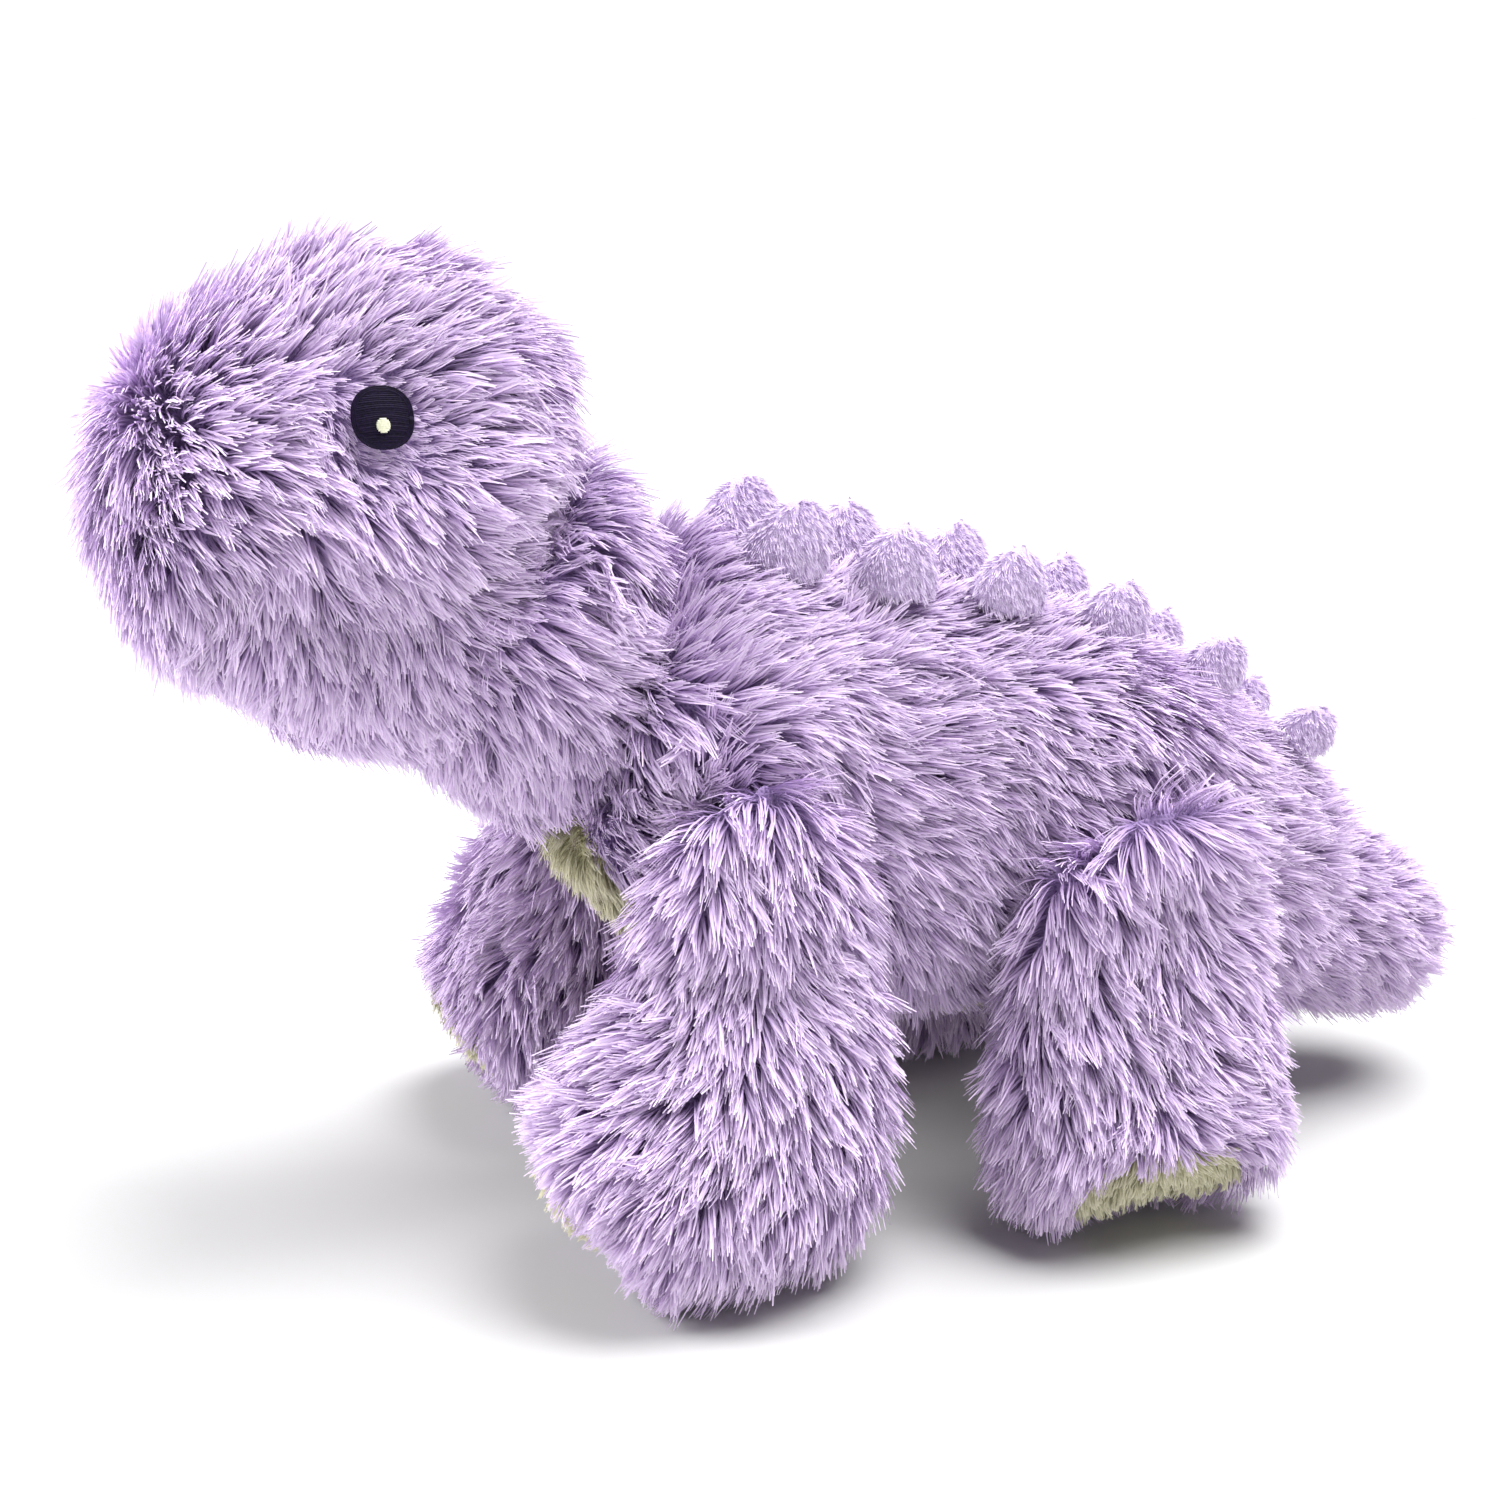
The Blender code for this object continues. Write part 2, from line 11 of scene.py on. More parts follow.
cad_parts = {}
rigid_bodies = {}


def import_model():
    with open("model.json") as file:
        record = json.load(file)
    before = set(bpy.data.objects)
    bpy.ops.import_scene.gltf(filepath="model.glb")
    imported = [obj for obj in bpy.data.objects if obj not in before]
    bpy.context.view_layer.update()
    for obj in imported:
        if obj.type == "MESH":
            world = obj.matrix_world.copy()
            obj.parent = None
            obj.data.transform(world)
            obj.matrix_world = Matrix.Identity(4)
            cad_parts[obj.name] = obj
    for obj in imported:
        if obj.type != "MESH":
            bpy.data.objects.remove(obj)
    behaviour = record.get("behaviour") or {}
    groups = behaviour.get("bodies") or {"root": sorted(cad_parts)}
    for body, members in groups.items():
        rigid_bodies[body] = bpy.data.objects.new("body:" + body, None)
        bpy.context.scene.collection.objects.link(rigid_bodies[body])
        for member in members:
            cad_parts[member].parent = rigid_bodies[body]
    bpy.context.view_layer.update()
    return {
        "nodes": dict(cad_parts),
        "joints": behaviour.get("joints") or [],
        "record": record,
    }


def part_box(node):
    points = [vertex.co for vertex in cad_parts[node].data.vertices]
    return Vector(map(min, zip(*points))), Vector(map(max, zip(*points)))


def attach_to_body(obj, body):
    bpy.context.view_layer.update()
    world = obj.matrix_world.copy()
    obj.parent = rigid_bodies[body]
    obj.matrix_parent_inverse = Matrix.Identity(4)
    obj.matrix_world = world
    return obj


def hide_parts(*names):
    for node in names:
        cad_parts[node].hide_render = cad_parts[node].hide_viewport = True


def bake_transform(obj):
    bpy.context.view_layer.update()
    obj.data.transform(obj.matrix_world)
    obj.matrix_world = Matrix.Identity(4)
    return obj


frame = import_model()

mm = 0.001
scene = bpy.context.scene
joints = {joint["name"]: joint for joint in frame["joints"]}


# small helpers

def linearColour(code):
    parts = [int(code[i:i + 2], 16) / 255 for i in (1, 3, 5)]
    return [c / 12.92 if c <= 0.04045 else ((c + 0.055) / 1.055) ** 2.4 for c in parts] + [1.0]


def addNode(tree, kind, values=None, links=None, **settings):
    node = tree.nodes.new(kind)
    for key, value in settings.items():
        setattr(node, key, value)
    for key, value in (values or {}).items():
        node.inputs[key].default_value = value
    for key, source in (links or {}).items():
        tree.links.new(source, node.inputs[key])
    return node


def newMaterial(name, **fixed):
    material = bpy.data.materials.new(name)
    material.use_nodes = True
    shader = material.node_tree.nodes["Principled BSDF"]
    for key, value in fixed.items():
        shader.inputs[key.replace("_", " ")].default_value = value
    return material, material.node_tree, shader


def ramp(tree, factor, stops):
    node = addNode(tree, "ShaderNodeValToRGB", links={"Fac": factor})
    marks = node.color_ramp.elements
    while len(marks) < len(stops):
        marks.new(0.5)
    for mark, (place, code) in zip(marks, stops):
        mark.position = place
        mark.color = linearColour(code)
    return node.outputs["Color"]


def newObject(name, mesh, *materials):
    for material in materials:
        mesh.materials.append(material)
    obj = bpy.data.objects.new(name, mesh)
    scene.collection.objects.link(obj)
    return obj


def coordsOf(mesh):
    found = np.empty(len(mesh.vertices) * 3, np.float32)
    mesh.vertices.foreach_get("co", found)
    return found.reshape(-1, 3).astype(float)


def normalsOf(mesh):
    found = np.empty(len(mesh.vertices) * 3, np.float32)
    mesh.vertex_normals.foreach_get("vector", found)
    return found.reshape(-1, 3).astype(float)


def setCoords(mesh, coords):
    mesh.vertices.foreach_set("co", coords.astype(np.float32).ravel())
    mesh.update()


def applied(obj):
    depsgraph = bpy.context.evaluated_depsgraph_get()
    mesh = bpy.data.meshes.new_from_object(obj.evaluated_get(depsgraph))
    old = obj.data
    obj.modifiers.clear()
    obj.data = mesh
    mesh.name = obj.name
    bpy.data.meshes.remove(old)
    return obj


# finishes

# every strand lies along one strip of this grid in its own map: across a strip is from root to tip
plushStrips = {"columns": 4, "rows": 24, "halfHeight": 0.0035, "margin": 0.03}
plushGloss = {"specular": 0.12, "sheenRoughness": 0.45}


def plushFibre(name, stops, toneSpread, roughness, sheen, sheenTint):
    material, tree, shader = newMaterial(
        name, Roughness=roughness, Sheen_Weight=sheen, Sheen_Roughness=plushGloss["sheenRoughness"]
    )
    shader.inputs["Sheen Tint"].default_value = linearColour(sheenTint)
    shader.inputs["Specular IOR Level"].default_value = plushGloss["specular"]
    strands = addNode(tree, "ShaderNodeUVMap", uv_map="OFBake")
    split = addNode(tree, "ShaderNodeSeparateXYZ", links={"Vector": strands.outputs["UV"]})
    column = addNode(
        tree, "ShaderNodeMath", {1: plushStrips["columns"]}, {0: split.outputs["X"]}, operation="MULTIPLY"
    )
    row = addNode(
        tree, "ShaderNodeMath", {1: plushStrips["rows"]}, {0: split.outputs["Y"]}, operation="MULTIPLY"
    )
    along = addNode(tree, "ShaderNodeMath", links={0: column.outputs[0]}, operation="FRACT")
    whichColumn = addNode(tree, "ShaderNodeMath", links={0: column.outputs[0]}, operation="FLOOR")
    whichRow = addNode(tree, "ShaderNodeMath", links={0: row.outputs[0]}, operation="FLOOR")
    which = addNode(
        tree, "ShaderNodeCombineXYZ", links={"X": whichColumn.outputs[0], "Y": whichRow.outputs[0]}
    )
    dice = addNode(tree, "ShaderNodeTexWhiteNoise", links={"Vector": which.outputs[0]}, noise_dimensions="2D")
    tone = addNode(
        tree, "ShaderNodeMapRange", {"To Min": 1 - toneSpread, "To Max": 1 + toneSpread},
        {"Value": dice.outputs["Value"]}
    )
    # colour along each strand from root to tip: the dark root end is painted shade of the gaps between locks,
    # the light tip end painted light
    colour = ramp(tree, along.outputs[0], stops)
    varied = addNode(
        tree, "ShaderNodeHueSaturation", {"Hue": 0.5, "Saturation": 1.0},
        {"Color": colour, "Value": tone.outputs[0]}
    )
    tree.links.new(varied.outputs["Color"], shader.inputs["Base Color"])
    return material


# 0.31 makes one wave as wide as one thread
weave = {"waveScale": 0.31, "wobble": 1.2, "sheen": 0.2, "riseShare": 0.3}


def wovenCloth(name, dark, light, threadMm, roughness, bump):
    material, tree, shader = newMaterial(name, Roughness=roughness, Sheen_Weight=weave["sheen"])
    place = addNode(tree, "ShaderNodeTexCoord")
    scaled = addNode(
        tree, "ShaderNodeMapping", {"Scale": (1 / (threadMm * mm),) * 3}, {"Vector": place.outputs["Object"]}
    )
    warp = addNode(
        tree, "ShaderNodeTexWave", {"Scale": weave["waveScale"], "Distortion": weave["wobble"]},
        {"Vector": scaled.outputs[0]}, bands_direction="X"
    )
    weft = addNode(
        tree, "ShaderNodeTexWave", {"Scale": weave["waveScale"], "Distortion": weave["wobble"]},
        {"Vector": scaled.outputs[0]}, bands_direction="Z"
    )
    crossed = addNode(
        tree, "ShaderNodeMath", links={0: warp.outputs["Fac"], 1: weft.outputs["Fac"]}, operation="MAXIMUM"
    )
    colour = ramp(tree, crossed.outputs[0], ((0.2, dark), (0.9, light)))
    tree.links.new(colour, shader.inputs["Base Color"])
    rise = addNode(
        tree, "ShaderNodeBump", {"Strength": bump, "Distance": threadMm * mm * weave["riseShare"]},
        {"Height": crossed.outputs[0]}
    )
    tree.links.new(rise.outputs["Normal"], shader.inputs["Normal"])
    return material


kernel = {"acrossMm": 3.2, "riseMm": 1.0, "bump": 0.8, "roughness": 0.55}


def grainFinish(name):
    material, tree, shader = newMaterial(name, Roughness=kernel["roughness"])
    place = addNode(tree, "ShaderNodeTexCoord")
    cells = addNode(
        tree, "ShaderNodeTexVoronoi", {"Scale": 1 / (kernel["acrossMm"] * mm)},
        {"Vector": place.outputs["Object"]}
    )
    # darker towards each kernel's edge: painted shade in the gaps between kernels
    colour = ramp(tree, cells.outputs["Distance"], ((0.0, "#D9C79C"), (0.5, "#B99D68"), (0.9, "#6E5836")))
    tree.links.new(colour, shader.inputs["Base Color"])
    rise = addNode(
        tree, "ShaderNodeBump", {"Strength": kernel["bump"], "Distance": kernel["riseMm"] * mm},
        {"Height": cells.outputs["Distance"]},
        invert=True
    )
    tree.links.new(rise.outputs["Normal"], shader.inputs["Normal"])
    return material


# brushed polyester pile: darker at the root, painted shade for the shaded gaps between locks, and nearly
# white at the tip, painted light on the lit lock ends; the lilac between is the pile's own colour, so locks
# show as light on dark
lilacPlush = plushFibre(
    "lilac_long_pile_polyester_plush",
    ((0.0, "#7B6498"), (0.3, "#B097C6"), (0.62, "#D4BCE4"), (1.0, "#EEDDF8")), 0.10, 0.88, 0.2, "#F3E8FB"
)
# clipped polyester pile on the belly and soles: duller and greener, with little change from root to tip; its
# darker root is painted shade of the gaps between locks
creamPlush = plushFibre(
    "cream_short_pile_polyester_plush",
    ((0.0, "#8A8768"), (0.4, "#BDB997"), (0.75, "#CFCBAE"), (1.0, "#DEDAC4")), 0.10, 0.85, 0.2, "#FBF8E6"
)
# velboa, a very short knitted pile: even and pale, with a soft bloom at the edges; its slightly darker root
# is painted shade between tufts
spikePlush = plushFibre(
    "lilac_velboa_short_pile",
    ((0.0, "#C9B2DB"), (0.5, "#DCC8EB"), (1.0, "#EDDFF7")), 0.07, 0.88, 0.3, "#F6ECFF"
)
# knitted ground cloths that carry the pile: matt and a little darker as painted shade, so gaps between locks
# look deep
lilacBacking = wovenCloth("lilac_knitted_plush_backing", "#7C6598", "#9A82B3", 0.9, 0.95, 0.5)
creamBacking = wovenCloth("cream_knitted_plush_backing", "#9C9970", "#BDB990", 0.9, 0.95, 0.5)
spikeBacking = wovenCloth("lilac_velboa_backing", "#C2AFD6", "#D2C0E2", 0.5, 0.85, 0.3)
# undyed cotton liner of the grain bag: matt, with a plain weave coarse enough to show
linerCloth = wovenCloth("undyed_cotton_liner", "#B9AF98", "#E3DCC8", 0.6, 0.9, 0.6)
# dried grain: small rounded kernels, straw coloured, faintly glossy, darker towards each kernel's edge as
# painted shade in the gaps between kernels
cerealGrain = grainFinish("dried_cereal_grain")


twistSettings = {"acrossMm": 0.5, "detail": 3.0, "roughness": 0.6, "specular": 0.14}


def embroideryThread(name, dark, light, roughness):
    material, tree, shader = newMaterial(name, Roughness=roughness)
    shader.inputs["Specular IOR Level"].default_value = twistSettings["specular"]
    place = addNode(tree, "ShaderNodeTexCoord")
    twist = addNode(
        tree, "ShaderNodeTexNoise", {
            "Scale": 1 / (twistSettings["acrossMm"] * mm), "Detail": twistSettings["detail"],
            "Roughness": twistSettings["roughness"],
        },
        {"Vector": place.outputs["Object"]}
    )
    colour = ramp(tree, twist.outputs["Fac"], ((0.35, dark), (0.7, light)))
    tree.links.new(colour, shader.inputs["Base Color"])
    return material


# rayon satin stitch: close, nearly black threads with a low gloss along each one
eyeThread = embroideryThread("aubergine_rayon_embroidery_thread", "#0A0413", "#1D1035", 0.6)
# the same stitch in cream for the glint: bright and even
creamThread = embroideryThread("cream_rayon_embroidery_thread", "#D9DABC", "#F7F8E2", 0.4)
print("finishes made")


# the stuffed cloth bodies under the pile

cadBodies = {body: list(names) for body, names in frame["record"]["behaviour"]["bodies"].items()}
coverWords = ("panel", "sole")


def coverNodes(body):
    return [name for name in cadBodies[body] if any(word in name for word in coverWords)]


def cadTree(nodes):
    bm = bmesh.new()
    owners = []
    for node in nodes:
        bm.from_mesh(frame["nodes"][node].data)
        owners += [node] * (len(bm.faces) - len(owners))
    tree = BVHTree.FromBMesh(bm)
    bm.free()
    return tree, owners


def boxOf(nodes):
    corners = [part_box(node) for node in nodes]
    low = Vector([min(c[0][i] for c in corners) for i in range(3)])
    high = Vector([max(c[1][i] for c in corners) for i in range(3)])
    return low, high


def boxPoint(nodes, shares):
    low, high = boxOf(nodes)
    return Vector([low[i] + (high[i] - low[i]) * shares[i] for i in range(3)])


neckSeam, headSeam, tailSeam = (
    Vector(joints[name]["pos_m"]) for name in ("neck_nod", "head_turn", "tail_wag")
)
neckAxis = (headSeam - neckSeam).normalized()
headAxis = Vector(joints["head_turn"]["axis"]).normalized()
# the line through each body that its cloth is laid out from, and which ends are sewn to a neighbour
bodyPaths = {
    "trunk": (neckSeam, tailSeam, True, True),
    "neck": (neckSeam + neckAxis * 2 * mm, headSeam - headAxis * 2 * mm, True, True),
    "head": (headSeam + headAxis * 2 * mm, Vector((-149 * mm, 0, 163 * mm)), True, False),
    "tail": (tailSeam, boxPoint(coverNodes("tail"), (0.70, 0.5, 0.42)), True, False),
}
for legName in ("front_leg_left", "front_leg_right", "hind_leg_left", "hind_leg_right"):
    bodyPaths[legName] = (
        boxPoint(coverNodes(legName), (0.55, 0.5, 0.78)), boxPoint(coverNodes(legName), (0.5, 0.5, 0.19)),
        False, False
    )
clothSettings = {
    "insetMm": 1.6,  # how far the cloth lies inside the inner face of the cover
    "fans": 8, "rings": 26, "columns": 44,
    "voxelMm": 4.4, "pressure": 4.0, "frames": 20, "mostMoveMm": 2.5, "openDepthMm": 2.0,
}


def clothStart(body):
    start, end, startOpen, endOpen = bodyPaths[body]
    extra = [name for name in cadBodies[body] if name.startswith("eye_") and "glint" not in name]
    tree, _ = cadTree(coverNodes(body) + extra)
    axis = (end - start).normalized()
    across = Vector((0, 1, 0))
    rise = axis.cross(across).normalized()
    fans, rings, columns = (clothSettings[key] for key in ("fans", "rings", "columns"))
    casts = [
        (start, -math.cos(a), math.sin(a), startOpen) for a in [math.pi / 2 * k / fans for k in range(fans)]
    ]
    casts += [(start.lerp(end, k / rings), 0.0, 1.0, False) for k in range(rings + 1)]
    casts += [
        (end, math.cos(a), math.sin(a), endOpen)
        for a in [math.pi / 2 * k / fans for k in range(fans - 1, -1, -1)]
    ]
    reach = np.full((len(casts), columns), np.nan)
    ways = []
    for i, (origin, forward, outward, isOpen) in enumerate(casts):
        row = []
        for j in range(columns):
            turn = 2 * math.pi * (j + 0.37) / columns
            way = (axis * forward + (across * math.cos(turn) + rise * math.sin(turn)) * outward).normalized()
            hit = tree.ray_cast(origin, way)
            if hit[0] is not None:
                reach[i, j] = hit[3] - clothSettings["insetMm"] * mm
            if isOpen and abs(forward) > 0.02:
                most = clothSettings["openDepthMm"] * mm / abs(forward)
                reach[i, j] = most if np.isnan(reach[i, j]) else min(most, reach[i, j])
            row.append(way)
        ways.append(row)
    for i in range(len(casts)):
        holes = np.isnan(reach[i])
        if holes.any():
            fill = np.nanmedian(reach[i]) if not holes.all() else 10 * mm
            near = [
                np.nanmean(np.append(reach[i, (np.arange(j - 2, j + 3)) % columns], fill))
                for j in np.where(holes)[0]
            ]
            reach[i, holes] = near
    for _ in range(2):
        reach = 0.5 * reach + 0.25 * (np.roll(reach, 1, 1) + np.roll(reach, -1, 1))
    bm = bmesh.new()
    loops = []
    for i, (origin, forward, outward, isOpen) in enumerate(casts):
        if outward < 1e-6:
            loops.append([bm.verts.new(origin + ways[i][0] * float(reach[i].mean()))] * columns)
        else:
            loops.append([bm.verts.new(origin + ways[i][j] * float(reach[i, j])) for j in range(columns)])
    for a, b in zip(loops, loops[1:]):
        for j in range(columns):
            k = (j + 1) % columns
            corners = []
            for vert in (a[j], a[k], b[k], b[j]):
                if vert not in corners:
                    corners.append(vert)
            bm.faces.new(corners)
    bmesh.ops.recalc_face_normals(bm, faces=bm.faces)
    mesh = bpy.data.meshes.new(body)
    bm.to_mesh(mesh)
    bm.free()
    obj = newObject(body + "_backing", mesh)
    remesh = obj.modifiers.new("voxels", "REMESH")
    remesh.mode = "VOXEL"
    remesh.voxel_size = clothSettings["voxelMm"] * mm
    soften = obj.modifiers.new("soften", "SMOOTH")
    soften.factor = 0.5
    soften.iterations = 4
    return applied(obj)


backings = {body: clothStart(body) for body in bodyPaths}


soleFavourMm = {"front_leg": 0.01, "hind_leg": 5.0}  # how much nearer a sole counts than it is


def ownerOf(body, mesh, liftMm):
    tree, owners = cadTree(coverNodes(body))
    soles = [n for n in coverNodes(body) if n.endswith("sole")]
    soleTree = cadTree(soles)[0] if soles else None
    favour = soleFavourMm["hind_leg" if body.startswith("hind") else "front_leg"]
    coords, normals = coordsOf(mesh), normalsOf(mesh)
    found, gaps = [], []
    for place, normal in zip(coords, normals):
        hit = tree.find_nearest(Vector(place + normal * liftMm * mm))
        owned, far = owners[hit[2]], hit[3] / mm
        if soles:
            soleFar = soleTree.find_nearest(Vector(place + normal * liftMm * mm))[3] / mm
            if soleFar < far + favour:
                owned = soles[0]
            elif owned == soles[0]:
                owned = body + "_outer_panel"
        found.append(owned)
        gaps.append(far)
    return np.array(found), np.array(gaps)


def blowUp(objects):
    starts = {}
    for body, obj in objects.items():
        starts[body] = coordsOf(obj.data)
        owner, _ = ownerOf(body, obj.data, 6)
        onSeam = set()
        for edge in obj.data.edges:
            a, b = edge.vertices
            if owner[a] != owner[b]:
                onSeam.update((a, b))
        group = obj.vertex_groups.new(name="seams")
        group.add(list(onSeam), 1.0, "REPLACE")
        cloth = obj.modifiers.new("stuffing", "CLOTH")
        cloth.settings.quality = 5
        cloth.settings.vertex_group_mass = "seams"
        cloth.settings.use_pressure = True
        cloth.settings.uniform_pressure_force = clothSettings["pressure"]
        cloth.settings.effector_weights.gravity = 0
        cloth.collision_settings.use_self_collision = False
        cloth.point_cache.frame_end = clothSettings["frames"]
    for step in range(1, clothSettings["frames"] + 1):
        scene.frame_set(step)
    depsgraph = bpy.context.evaluated_depsgraph_get()
    for body, obj in objects.items():
        blown = coordsOf(obj.evaluated_get(depsgraph).data)
        move = blown - starts[body]
        move[~np.isfinite(move).all(1)] = 0
        length = np.linalg.norm(move, axis=1, keepdims=True)
        most = clothSettings["mostMoveMm"] * mm
        move *= np.minimum(1, most / np.maximum(length, 1e-9))
        obj.modifiers.clear()
        obj.vertex_groups.clear()
        setCoords(obj.data, starts[body] + move)
    scene.frame_set(1)


blowUp(backings)
print("cloth blown up with stuffing")

folds = {  # lines where the cloth is drawn in, mm: body, depth, width, points on the left side
    "mouth": (
        "head", 10.0, 8.0,
        ((-157, -34, 154), (-143, -39, 150), (-131, -40, 147), (-117, -41, 143), (-105, -40, 147),
         (-93, -38, 154), (-85, -33, 163)),
    ),
    "cheek": (
        "head", -4.5, 8.0,
        ((-155, -34, 169), (-143, -38, 167), (-131, -39, 165), (-117, -40, 162), (-106, -39, 167),
         (-95, -36, 173)),
    ),
    "shoulder": ("front_leg", 12.0, 6.0, ((-84, -52, 78), (-60, -67, 74), (-38, -70, 73), (-12, -62, 74))),
    "upper_arm": ("front_leg", -4.0, 8.0, ((-80, -50, 90), (-60, -60, 87), (-38, -62, 86), (-14, -58, 87))),
    "ankle": ("hind_leg", 5.0, 6.0, ((8, -62, 38), (30, -80, 40), (60, -80, 40), (88, -64, 36))),
}
bumps = {  # soft lumps, mm: body, height, radius, middle on the left side
    "brow": ("head", 5.5, 8.0, (-123, 0, 209)),
    "crown": ("head", 5.5, 8.0, (-101, 0, 207)),
    "nape": ("trunk", 4.0, 9.0, (-50, 0, 152)),
    "jowl": ("head", 4.5, 12.0, (-138, -34, 138)),
    "shoulder": ("trunk", 14.0, 26.0, (-42, -40, 114)),
    "scruff": ("neck", 2.0, 20.0, (-66, -10, 164)),
    "collar": ("neck", 7.0, 24.0, (-78, -34, 128)),
    "throat": ("neck", 4.0, 20.0, (-84, 0, 98)),
    "flank": ("trunk", 8.0, 26.0, (2, -38, 62)),
    "hip": ("trunk", 14.0, 28.0, (52, -38, 102)),
    "paw": ("front_leg_left", 5.0, 22.0, (-90, -64, 28)),
    "shin": ("front_leg_right", -7.0, 20.0, (-90, -50, 52)),
    "nose": ("head", 4.5, 16.0, (-171, 0, 170)),
    "bridge": ("head", -3.0, 17.0, (-152, 0, 201)),
    "chin": ("head", -3.0, 26.0, (-142, 0, 121)),
    "calf": ("hind_leg", 6.0, 20.0, (86, -62, 30)),
}
# height of a foot's rounded lower edge, mm, and how far it is drawn in
feet = {"front_leg": (30.0, 0.80), "hind_leg": (14.0, 0.40)}
# soft unevenness of filled cloth, and its floor
surface = {"rippleMm": 16, "rippleHeightMm": 1.1, "lowestMm": 2.5}


def lumpPush(body, coords):
    leftward = coords.copy()
    leftward[:, 1] = -np.abs(leftward[:, 1])
    push = np.zeros(len(coords))
    for where, height, radius, middle in bumps.values():
        if body.startswith(where):
            push += height * np.exp(-(np.linalg.norm(leftward - np.array(middle), axis=1) / radius) ** 2)
    return push


def distanceToLine(coords, points):
    best = np.full(len(coords), 1e9)
    for a, b in zip(points, points[1:]):
        a, b = np.array(a, float), np.array(b, float)
        along = np.clip(((coords - a) @ (b - a)) / ((b - a) @ (b - a)), 0, 1)
        best = np.minimum(best, np.linalg.norm(coords - (a + along[:, None] * (b - a)), axis=1))
    return best


for body, obj in backings.items():
    coords, normals = coordsOf(obj.data) / mm, normalsOf(obj.data)
    mirrored = coords * np.array([1, -1, 1]) if body.endswith("right") else coords * 1
    push = np.zeros(len(coords))
    for where, depth, width, points in folds.values():
        if body.startswith(where):
            flat = mirrored.copy()
            if body == "head":
                flat[:, 1] = -np.abs(flat[:, 1])
            push -= depth * np.exp(-(distanceToLine(flat, points) / width) ** 2)
    push += lumpPush(body, coords)
    coords += normals * push[:, None]
    if "leg" in body:
        reach, squash = feet[body.rsplit("_", 1)[0]]
        low = np.clip((reach - coords[:, 2]) / reach, 0, 1)
        draw = np.sqrt(1 - (squash * low) ** 2)
        for axis in (0, 1):
            middle = 0.5 * (coords[low > 0, axis].min() + coords[low > 0, axis].max())
            coords[:, axis] = middle + (coords[:, axis] - middle) * np.where(low > 0, draw, 1)
    setCoords(obj.data, coords * mm)
    smoothed = obj.modifiers.new("rounder", "SUBSURF")
    smoothed.levels = smoothed.render_levels = 1
    applied(obj)
    coords, normals = coordsOf(obj.data), normalsOf(obj.data)
    ripple = np.array([noise.noise(Vector(p) / (surface["rippleMm"] * mm)) for p in coords])
    setCoords(obj.data, coords + normals * (ripple * surface["rippleHeightMm"] * mm)[:, None])
    coords = coordsOf(obj.data)
    coords[:, 2] = np.maximum(coords[:, 2], surface["lowestMm"] * mm)
    setCoords(obj.data, coords)
    obj.data.materials.append(lilacBacking)
    obj.data.materials.append(creamBacking)
    obj.data.shade_smooth()
print("folds pressed in")


# which way the pile lies, mm and a direction, on the left side

